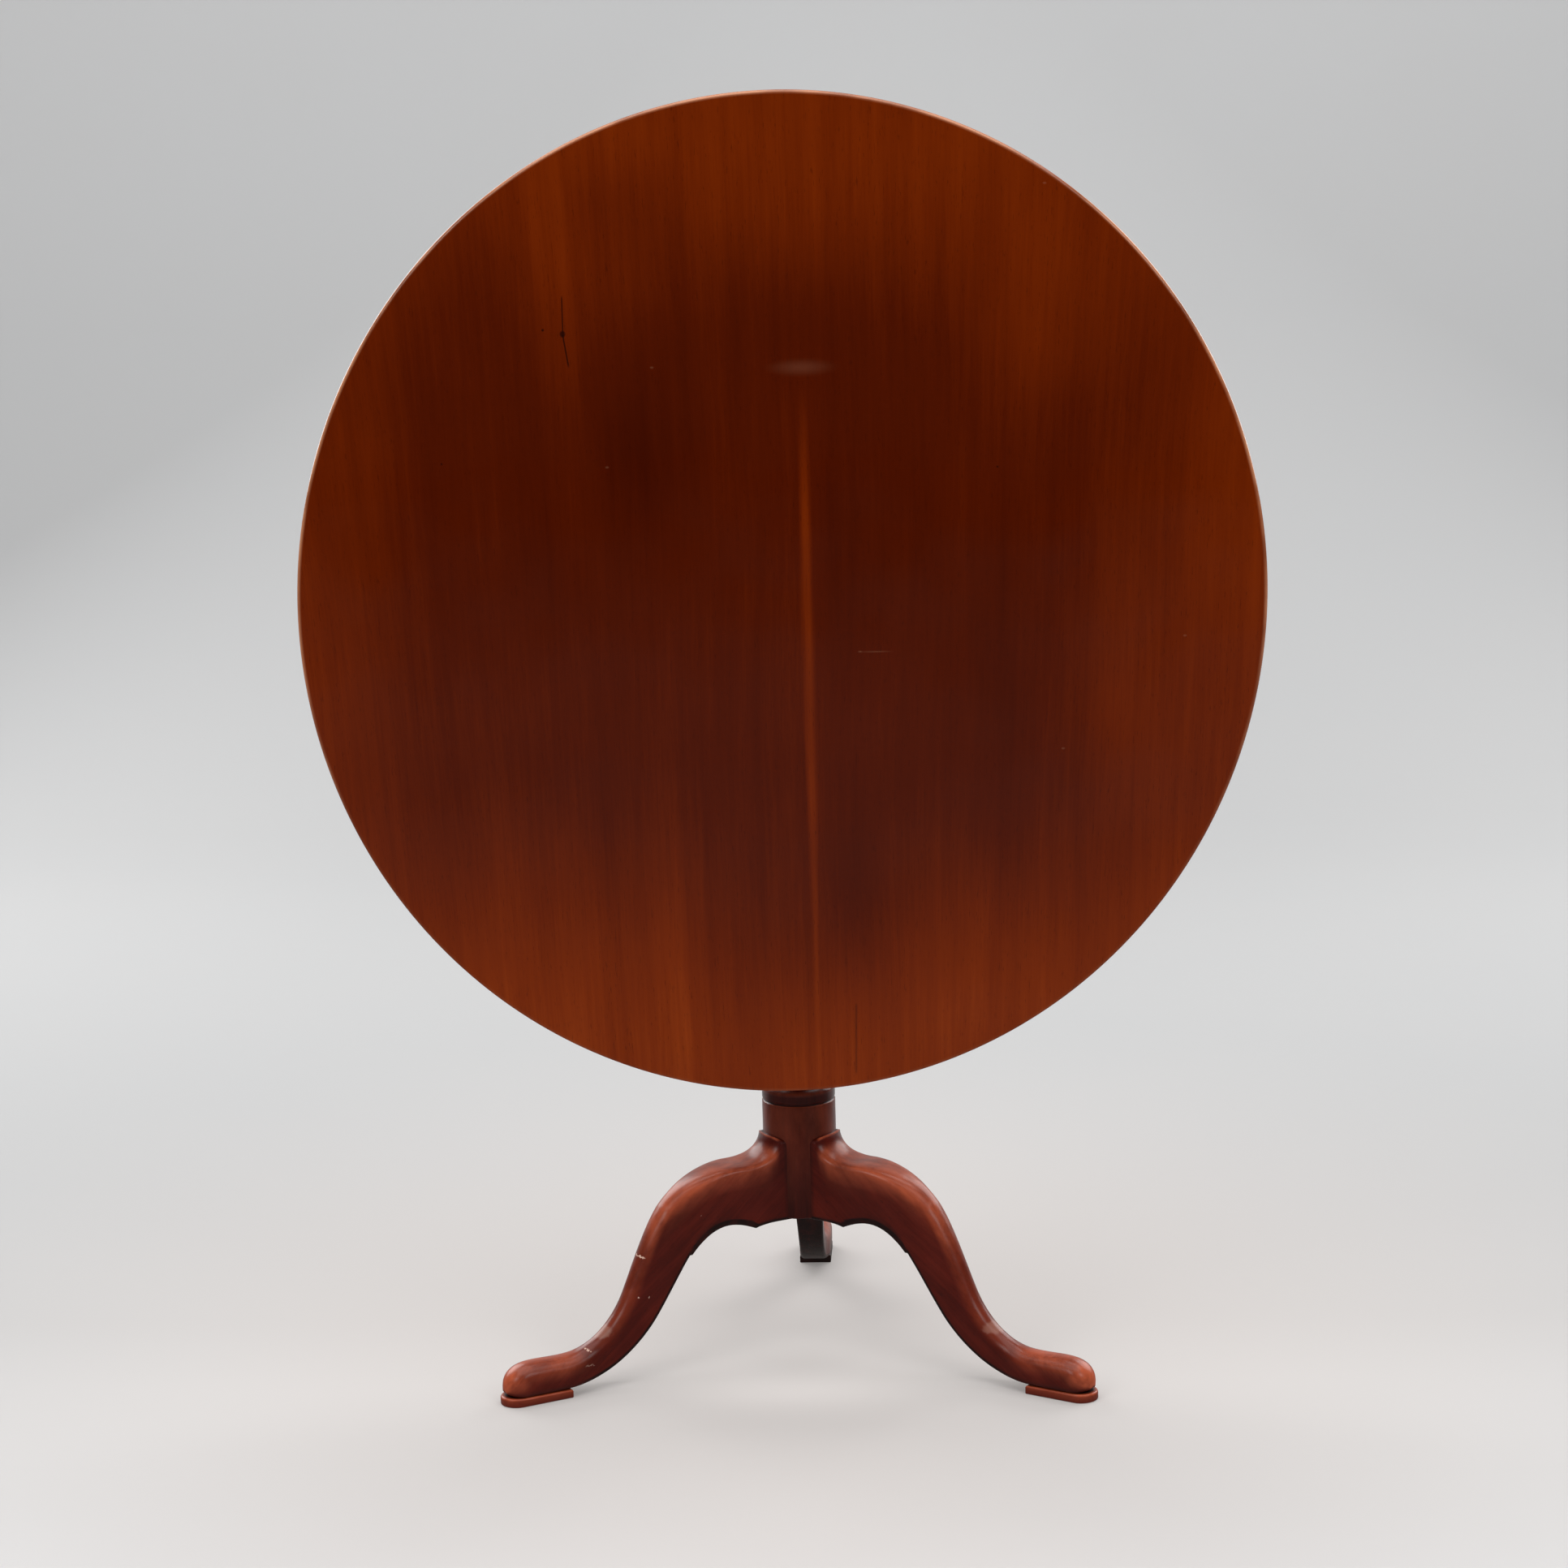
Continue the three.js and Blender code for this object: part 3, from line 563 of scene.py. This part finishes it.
def column_profile():
    """[radius, height] in millimetres, from the plain drum to the capital under the block."""
    top = COLUMN_TOP / MM
    bottom = COLUMN_BOTTOM / MM
    drum = DRUM_RADIUS
    return [
        (1, bottom), (drum - 1, bottom), (drum, bottom + 1), (drum, 256.2), (drum - 0.3, 256.8),
        (drum - 1.2, 257.6), (drum - 1.2, 258.7), (drum - 0.5, 259.2), (drum - 0.2, 259.8),
        (drum - 0.1, 262), (drum - 0.1, 266), *bulge((drum - 0.2, 268), (30.5, 274), 1.3, 12),
        (28.6, 274.4), (27.2, 275), (26.4, 276),
        *bulge((26, 277), (29, 296), -3, 14),
        (30.4, 297.4), (30.8, 299),
        *bulge((30, 300), (25, 410), 15, 32),
        (23.6, 413), (22.4, 415.6),
        *bulge((22, 418), (24, 434), -1.5, 10),
        (24.8, 435),
        *bulge((25, 437), (25, 447), 4, 12),
        (24.2, 448.6), (24, 450), (25, 451.5),
        *bulge((27, 453), (21, 615), 1, 12),
        (22, 617.5),
        *bulge((23, 620), (23, 629), 3, 12),
        *bulge((22, 632), (40, 657), -5, 16),
        (41.4, 658), (42, 660), (42, top - 0.8), (41.2, top), (1, top),
    ]


def ring_shadows(height):
    """How much painted shade the column's hollows get, by height in millimetres."""
    hollows = [
        (258.2, 1.3), (275.5, 2.5), (298, 2.5), (415, 3.0),
        (450, 2.5), (435.5, 1.5), (617, 3.0), (631, 2.0),
    ]
    dirt_and_shade = sum(1 - smooth(0, 1, abs(height - at) / size) for at, size in hollows)
    return min(1.0, 0.75 * dirt_and_shade)


def rubbed_edges(height):
    """How much the column is rubbed: on its beads, and on the drum's upper edge."""
    edges = [(256.6, 0.7, 0.6), (269.5, 4.0, 0.2), (442, 5.0, 0.2), (298.5, 1.2, 0.2)]
    return max(0.0, *(amount * (1 - smooth(0, 1, abs(height - at) / size)) for at, size, amount in edges))


def make_column():
    profile = [(r * MM, z * MM) for r, z in column_profile()]
    piece = lathe("column_turned", profile, AXIS, 128)
    heights = [v.co.z / MM for v in piece.data.vertices]
    add_attribute(piece, "dirt_and_shade", [float(ring_shadows(h)) for h in heights])
    add_attribute(piece, "wear_and_highlight", [float(rubbed_edges(h)) for h in heights])
    # Its low middle tone paints the shade that the top casts on the column.
    piece.data.materials.append(base_mahogany("column", 1.9, depth=0.10))
    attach(piece, "base")
    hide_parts("column")


# ---- Legs -----------------------------------------------------------------------------------
# A leg's side view in millimetres, [radius from the column axis, height], as in the CAD model:
# stretches that each have a top and a bottom cubic curve.
SHOE_THICKNESS = (shoe_high.z - shoe_low.z) / MM
SOLE = SHOE_THICKNESS + 0.3
FOOT_RADIUS = (shoe_high.y - AXIS.y) / MM
HEEL_RADIUS = (shoe_low.y - AXIS.y) / MM
FOOT_WIDTH = (shoe_high.x - shoe_low.x) / MM
ANKLE_WIDTH = 26
KNEE_WIDTH = 48
LEG_TOP = 226
LEG_START = DRUM_RADIUS - 4  # inside the drum
LEG_STRETCHES = [
    ([(DRUM_RADIUS + 4, LEG_TOP), (41, 212), (55, 202.5), (74.5, 203)],
     [(DRUM_RADIUS + 4, 141.5), (47, 141.5), (56.5, 141.5), (64.5, 138.5)]),
    ([(74.5, 203), (101.5, 204), (135, 194), (154, 172.5)],
     [(64.5, 138.5), (80.5, 146.5), (101, 154), (128.5, 120.5)]),
    ([(154, 172.5), (171, 153), (187, 111.5), (198, 88)],
     [(131, 120.5), (143, 102.5), (153.5, 82.5), (167, 63.5)]),
    ([(198, 88), (208, 67.5), (225.5, 47.5), (250.5, 41)],
     [(167, 63.5), (180.5, 44), (212, 15.5), (247, 11)]),
    ([(250.5, 41), (266, 37), (288.5, 41), (303.5, 39)],
     [(247, 11), (257, SOLE), (280, SOLE), (303, SOLE)]),
    ([(303.5, 39), (314.5, 37.5), (329, 29), (326, 15)],
     [(303, SOLE), (312, SOLE), (323, SOLE), (325.5, 12.5)]),
]
LEG_STEPS = 20


def leg_half_width(radius):
    """Half a leg's width: it tapers to the ankle, widens to the foot, and is round at the toe."""
    width = ANKLE_WIDTH + (KNEE_WIDTH - ANKLE_WIDTH) * (1 - smooth(60, 195, radius))
    width += (FOOT_WIDTH - ANKLE_WIDTH) * smooth(225, 265, radius)
    beyond = max(0.0, radius - (FOOT_RADIUS - 2.5 - FOOT_WIDTH / 2))
    return math.sqrt(max(0.4, width * width / 4 - beyond * beyond))


def around_column(radius, across, height):
    """Near the column, a leg follows circles around the column's axis instead of straight lines."""
    straight = smooth(50, 90, radius)
    circular = math.sqrt(max(1.0, radius * radius - across * across))
    return (straight * radius + (1 - straight) * circular, across, height)


def leg_section(bottom, top, on_ledge=False):
    """One closed section as points of (radius, across, height), from one lower edge over the crown
    to the other, with each point's paleness, from wear and painted light, and darkness, from painted shade
    and dirt."""
    height = (top - bottom).length
    radius = (top.x + bottom.x) / 2
    half = leg_half_width(radius)
    roundness = min(1.0, max(0.0, (radius - 60) / 70))
    rise = min(10 + 5 * roundness, height / 2)
    power = 2 / (5 - 2.8 * roundness - 1.8 * (1 - smooth(45, 75, radius)))
    lower = min(3.0, 0.2 * height)
    side = []
    for i in range(5):
        angle = math.pi / 2 * i / 4
        side.append((1 - lower / half * (1 - math.sin(angle)), lower * (1 - math.cos(angle))))
    for share in (0.02, 0.05, 0.08, 0.12, 0.25, 0.5, 0.75):
        side.append((1.0, lower + share * (height - rise - lower)))
    for i in range(14):
        angle = math.pi / 2 * i / 14
        side.append((math.cos(angle) ** power, height - rise * (1 - math.sin(angle) ** power)))
    points = []
    mirrored = [(-across, up) for across, up in reversed(side)]
    for across, up in side + [(0.0, height)] + mirrored:
        at = bottom.lerp(top, up / height)
        width = across * min(half, leg_half_width(at.x))
        point = around_column(at.x, width, at.y)
        points.append((point, *leg_marks(at, abs(across), up, height, lower, on_ledge)))
    return points


def leg_marks(at, across, up, height, lower, on_ledge):
    """Paleness and darkness at a point of a leg: painted light on the crown and the foot's top, painted
    highlights on the shoulders, wear on the toe, and painted shade on the lower edges, where the leg meets
    the column and low on the foot.
    """
    on_foot = smooth(225, 275, at.x)
    crown = smooth(0.55, 1.0, up / height)
    above = smooth(height - 13, height - 4, up)
    shoulder = 1 - smooth(0.0, 0.2, abs(across - 0.92))
    # Painted light: the leg's top is lighter from the column down to the shin, where light from above falls
    # on it.
    wear_and_highlight = 0.68 * above * smooth(41, 46, at.x) * (1 - 0.7 * smooth(152, 190, at.x))
    # Painted highlight along the shoulders, from the column to past the knee.
    wear_and_highlight = max(wear_and_highlight, 0.9 * shoulder * crown * smooth(44, 54, at.x) * (1 - smooth(125, 170, at.x)))
    # Painted light on the top of the foot; the line after is wear on the toe.
    wear_and_highlight = max(wear_and_highlight, 0.66 * on_foot * smooth(0.25, 0.95, up / height))
    wear_and_highlight = max(wear_and_highlight, 0.9 * smooth(298, 320, at.x) * smooth(0.1, 0.5, up / height))
    if on_ledge:
        wear_and_highlight = max(wear_and_highlight, smooth(0.96, 0.985, up / height))
    # Painted shade: a dark band along the lower edges, widest under the bracket, a dark line where the leg
    # meets the column, and darkness low on the foot.
    under_bracket = smooth(62, 68, at.x) * (1 - smooth(126, 134, at.x))
    band = lower * (1.5 + 1.3 * under_bracket)
    dirt_and_shade = 0.95 * (1 - smooth(0.8 * band, band, up)) * (1 - 0.8 * on_foot)
    dirt_and_shade = max(dirt_and_shade, 0.8 * (1 - smooth(36.5, 38.5, at.x)))
    dirt_and_shade = max(dirt_and_shade, 0.6 * (1 - smooth(0.0, 0.25, up / height)) * on_foot)
    return min(1.0, wear_and_highlight), min(1.0, dirt_and_shade)


def leg_sections():
    (top_start, *_), (bottom_start, *_) = LEG_STRETCHES[0]
    sections = []
    for radius in (LEG_START, DRUM_RADIUS + 1.5, top_start[0] - 0.8):
        on_ledge = radius > DRUM_RADIUS + 2
        ends = Vector((radius, bottom_start[1])), Vector((radius, top_start[1]))
        section = leg_section(*ends, on_ledge)
        sections.append(section)
    previous_end = None
    for top, bottom in LEG_STRETCHES:
        start = 1 if bottom[0] == previous_end else 0
        for i in range(start, LEG_STEPS + 1):
            t = i / LEG_STEPS
            on_ledge = previous_end is None and i == 0
            sections.append(leg_section(bezier(bottom, t), bezier(top, t), on_ledge))
        previous_end = bottom[-1]
    return sections


def around_axis(point, azimuth):
    """A leg's (radius, across, height) in millimetres, turned to its azimuth about the column."""
    turn = Matrix.Rotation(math.radians(azimuth), 4, "Z")
    return AXIS + turn @ (Vector(point) * MM)


# Pale nicks and rubbed spots: (radius, across, height), half sizes, strength.
NICKS = {
    "leg_left": [
        ((0.1795, 0.0040, 0.1249), (0.0034, 0.010, 0.0009), 0.75),
        ((0.1868, 0.0070, 0.0865), (0.0012, 0.010, 0.0016), 0.9),
        ((0.1759, 0.0135, 0.0856), (0.0010, 0.010, 0.0017), 0.45),
        ((0.2403, 0.0060, 0.0418), (0.0018, 0.012, 0.0012), 0.7),
        ((0.2414, 0.0135, 0.0278), (0.0060, 0.010, 0.0008), 0.22),
        ((0.1196, 0.0150, 0.1600), (0.0008, 0.010, 0.0008), 0.3),
        ((0.2225, 0.0000, 0.0560), (0.0140, 0.016, 0.0080), 0.13),
    ],
    "leg_right": [((0.2185, 0.0000, 0.0560), (0.0140, 0.016, 0.0080), 0.12)],
    "leg_rear": [],
}


def make_leg(name, azimuth, seed):
    sections = leg_sections()
    points = [point for section in sections for point, _, _ in section]
    piece = new_object(name + "_carved", [around_axis(p, azimuth) for p in points], skin(sections), 38)
    add_attribute(piece, "plank", [Vector(p) * MM for p in points])
    add_attribute(piece, "wear_and_highlight", [float(wear_and_highlight) for section in sections for _, wear_and_highlight, _ in section])
    add_attribute(piece, "dirt_and_shade", [float(dirt_and_shade) for section in sections for _, _, dirt_and_shade in section])
    piece.data.materials.append(base_mahogany(name, seed, "plank", math.radians(-50), NICKS[name]))
    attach(piece, "base")
    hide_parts(name)


# ---- Shoes ----------------------------------------------------------------------------------
def shoe_outline(inset, steps=28):
    """A shoe from above as (radius, across) in millimetres: square heel, round toe."""
    half = FOOT_WIDTH / 2 - inset
    centre = FOOT_RADIUS - FOOT_WIDTH / 2
    outline = [(HEEL_RADIUS + inset, half), (HEEL_RADIUS + inset, -half)]
    for i in range(steps + 1):
        angle = -math.pi / 2 + math.pi * i / steps
        outline.append((centre + half * math.cos(angle), half * math.sin(angle)))
    return outline


def make_shoe(name, azimuth, seed):
    """A thin slab under the foot, with worn and rounded upper edges."""
    levels = [(1.2, 0.0), (0.4, 0.4), (0.0, 1.2), (0.0, SHOE_THICKNESS - 2.2)]
    levels += quarter((0.0, SHOE_THICKNESS - 2.2), (2.2, SHOE_THICKNESS), 5, False)
    levels += [(2.2, SHOE_THICKNESS), (5.0, SHOE_THICKNESS)]
    wears = [0.1, 0.1, 0.1, 0.35, 0.7, 1.0, 1.0, 0.9, 0.7, 0.2]
    rings = [[(r, across, z) for r, across in shoe_outline(inset)] for inset, z in levels]
    points = [p for ring in rings for p in ring]
    faces = skin(rings)
    piece = new_object(name + "_fine", [around_axis(p, azimuth) for p in points], faces, 50)
    count = len(rings[0])
    add_attribute(piece, "plank", [Vector(p) * MM for p in points])
    # The rear shoe is painted darker than the two in front, with less pale wear, as painted shade for where
    # it stands in the table's shadow.
    behind = azimuth == 90
    worn = 0.15 if behind else 0.8
    add_attribute(piece, "wear_and_highlight", [worn * w for w in wears for _ in range(count)])
    rear_shade = 0.85 if behind else 0.0
    # Painted shade on the rear shoe's sides, and on the top face of every shoe, under the foot.
    shade_by_level = [rear_shade] * (len(rings) - 1) + [0.9]
    add_attribute(piece, "dirt_and_shade", [d for d in shade_by_level for _ in range(count)])
    depth = 0.0 if behind else 0.55
    piece.data.materials.append(base_mahogany(name, seed, "plank", math.pi / 2, depth=depth))
    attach(piece, "base")
    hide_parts(name)


# ---- CAD nodes that stay --------------------------------------------------------------------
def finish_node(name, material, edge):
    """Gives a CAD node its material, and rounds its edges with modifiers."""
    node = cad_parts[name]
    node.data.materials.clear()
    node.data.materials.append(material)
    weld = node.modifiers.new("weld", "WELD")
    weld.merge_threshold = 0.00002
    flatten = node.modifiers.new("flatten", "DECIMATE")
    flatten.decimate_type = "DISSOLVE"
    flatten.angle_limit = math.radians(1)
    bevel = node.modifiers.new("bevel", "BEVEL")
    bevel.width = edge
    bevel.segments = 3
    bevel.limit_method = "ANGLE"
    bevel.angle_limit = math.radians(35)
    bevel.harden_normals = True
    node.data.shade_smooth()


# ---- Stage ----------------------------------------------------------------------------------
FLOOR_BEHIND = 2.2  # where the floor starts to sweep up behind the table
SWEEP_RADIUS = 1.8
WALL_TOP = 5.0
FLOOR_IN_FRONT = 9.0
HALF_WIDTH = 7.0

# The paper's grey, by distance back from the table and up the sweep, in metres: pale near the camera,
# darker where the table stands, and paler again up the wall. These greys are painted light and shade.
PAPER_LIGHT_AND_SHADE = [(-0.8, 215), (0.0, 180), (2.5, 180), (4.5, 190), (6.0, 205)]
PAPER_START = -1.0  # where the ramp of those greys starts, and how far it runs
PAPER_LENGTH = 7.0
GLOSS_STRENGTH = 0.19  # of the floor in front, as glossy surfaces see it


def backdrop_material():
    """Pale paper, with painted light and shade and a glow of its own. What glossy surfaces see of it is
    dimmed, as the dark half of a studio.
    """
    graph = Graph("backdrop")
    place = graph.place()
    z = graph.axis(place, "Z")
    y = graph.axis(place, "Y")
    along = graph.math("DIVIDE", graph.total(y, z, -PAPER_START), PAPER_LENGTH)
    stops = [((at - PAPER_START) / PAPER_LENGTH, srgb(grey, grey, grey)) for at, grey in PAPER_LIGHT_AND_SHADE]
    tone = graph.ramp(along, stops)
    # Painted light: a warm, paler patch on the floor around the table.
    warm = graph.patch(place, (0.0, -0.2, 0.0), (1.4, 1.5, 1.0))
    tone = graph.mix(graph.times(warm, 0.8), tone, srgb(205, 198, 194))
    speckle = graph.noise(place, (0.4, 0.4, 0.4), 4, 0.6)
    tone = graph.mix(graph.spread(speckle, 0.3, 0.7, 0.0, 0.06), tone, srgb(190, 186, 182))
    # Painted light: a third of what the camera sees is the paper's own glow, which also lightens the shadows
    # on it.
    lit = graph.node("BsdfDiffuse", {"Color": tone}).outputs[0]
    own = graph.node("Emission", {"Color": tone, "Strength": 1.0}).outputs[0]
    shown = graph.node("MixShader", {0: 0.3, 1: lit, 2: own}).outputs[0]
    near = graph.spread(y, -9.0, -1.8, 0.0, 1.0)
    wavy = graph.spread(graph.noise(place, (0.8, 0.8, 0.8), 2), 0.3, 0.7, 0.75, 1.0)
    dimmed = graph.times(near, wavy, GLOSS_STRENGTH)
    seen_in_gloss = graph.node("Emission", {"Color": srgb(255, 240, 232), "Strength": dimmed})
    glossy = graph.node("LightPath", {}).outputs["Is Glossy Ray"]
    in_front = graph.spread(y, 0.0, 0.6, 1.0, 0.0)
    share = graph.times(glossy, in_front)
    mixed = graph.node("MixShader", {0: share, 1: shown, 2: seen_in_gloss.outputs[0]})
    graph.node("OutputMaterial", {"Surface": mixed.outputs[0]})
    return graph.material


def make_backdrop():
    line = [(-FLOOR_IN_FRONT, 0.0), (-2.0, 0.0), (-1.0, 0.0), (0.0, 0.0), (1.0, 0.0)]
    steps = 24
    for i in range(steps + 1):
        angle = math.pi / 2 * i / steps
        line.append((FLOOR_BEHIND + SWEEP_RADIUS * math.sin(angle), SWEEP_RADIUS * (1 - math.cos(angle))))
    line.append((FLOOR_BEHIND + SWEEP_RADIUS, WALL_TOP))
    vertices = []
    for y, z in line:
        vertices += [Vector((-HALF_WIDTH, y, z)), Vector((HALF_WIDTH, y, z))]
    faces = [(2 * i, 2 * i + 1, 2 * i + 3, 2 * i + 2) for i in range(len(line) - 1)]
    backdrop = new_object("backdrop", vertices, faces)
    backdrop.data.materials.append(backdrop_material())


def area_light(name, place, target, width, height, power, colour=(1, 1, 1)):
    data = bpy.data.lights.new(name, "AREA")
    data.shape = "RECTANGLE"
    data.size = width
    data.size_y = height
    data.energy = power
    data.color = colour
    light = bpy.data.objects.new(name, data)
    light.location = place
    light.rotation_mode = "QUATERNION"
    light.rotation_quaternion = (Vector(target) - Vector(place)).to_track_quat("-Z", "Y")
    bpy.context.scene.collection.objects.link(light)
    return light


def make_lights():
    area_light("overhead", (0.0, -0.4, 3.6), (0, 0.1, 0), 4.5, 3.5, 100)
    area_light("front_left", (-3.0, -3.6, 3.2), (0, 0, 0.5), 1.8, 1.8, 46)
    area_light("front_right", (3.0, -3.6, 3.2), (0, 0, 0.5), 1.8, 1.8, 40)
    area_light("backdrop_light", (0.0, 1.0, 4.2), (0, 3.2, 0.6), 5.0, 1.0, 30)
    for side, name in ((-1, "rear_left"), (1, "rear_right")):
        power = 52 if side < 0 else 46
        light = area_light(name, (side * 2.1, 2.0, 1.75), (0, -0.1, 0.3), 2.0, 1.9, power)
        light.visible_camera = False


def make_world():
    """Soft surroundings for diffuse light, and a dark studio for reflections."""
    world = bpy.data.worlds.new("studio")
    world.use_nodes = True
    tree = world.node_tree
    tree.nodes.clear()
    soft = tree.nodes.new("ShaderNodeBackground")
    soft.inputs["Color"].default_value = (0.95, 0.97, 1.0, 1.0)
    soft.inputs["Strength"].default_value = 0.42
    dark = tree.nodes.new("ShaderNodeBackground")
    dark.inputs["Color"].default_value = (0.03, 0.02, 0.015, 1.0)
    path = tree.nodes.new("ShaderNodeLightPath")
    mixed = tree.nodes.new("ShaderNodeMixShader")
    out = tree.nodes.new("ShaderNodeOutputWorld")
    tree.links.new(path.outputs["Is Glossy Ray"], mixed.inputs[0])
    tree.links.new(soft.outputs[0], mixed.inputs[1])
    tree.links.new(dark.outputs[0], mixed.inputs[2])
    tree.links.new(mixed.outputs[0], out.inputs[0])
    bpy.context.scene.world = world


def make_camera():
    """Nearly level with the upper edge of the tilted top, a little to the right, looking down."""
    data = bpy.data.cameras.new("camera")
    data.lens = 83.85
    data.sensor_width = 36
    camera = bpy.data.objects.new("camera", data)
    yaw, pitch, roll = (math.radians(a) for a in (3.05, -10.75, -1.55))
    turn = Matrix.Rotation(yaw, 4, "Z") @ Matrix.Rotation(math.pi / 2 + pitch, 4, "X")
    camera.matrix_world = Matrix.Translation((0.1797, -3.5648, 1.2357)) @ turn @ Matrix.Rotation(roll, 4, "Z")
    bpy.context.scene.collection.objects.link(camera)
    bpy.context.scene.camera = camera


# ---- The table ------------------------------------------------------------------------------
def make_table():
    make_top_board()
    make_column()
    for i, (name, azimuth) in enumerate(LEG_AZIMUTHS.items()):
        make_leg(name, azimuth, 3.0 + 2.7 * i)
        make_shoe(name.replace("leg", "shoe"), azimuth, 13.0 + 1.9 * i)

    for i, name in enumerate(("bearer_left", "bearer_right")):
        finish_node(name, underside_mahogany(name, 2.0 + i), 0.6 * MM)
    finish_node("top_block", underside_mahogany("top_block", 5.0, "X"), 0.8 * MM)
    finish_node("column_wedge", underside_mahogany("column_wedge", 6.0), 0.3 * MM)
    brass = aged_metal("brass_aged", srgb(214, 176, 104), srgb(150, 112, 62), srgb(84, 62, 38), 0.30)
    steel = aged_metal("steel_aged", srgb(150, 146, 140), srgb(92, 84, 78), srgb(72, 44, 30), 0.38, 0.003)
    for name in ("catch_case", "catch_bolt", "striker_plate", "catch_knob"):
        finish_node(name, brass, 0.3 * MM)
    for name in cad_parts:
        if "screw" in name or name == "catch_spring":
            finish_node(name, steel, 0.12 * MM)


make_camera()
make_table()
make_backdrop()
make_lights()
make_world()
bpy.context.scene.view_settings.view_transform = "Standard"
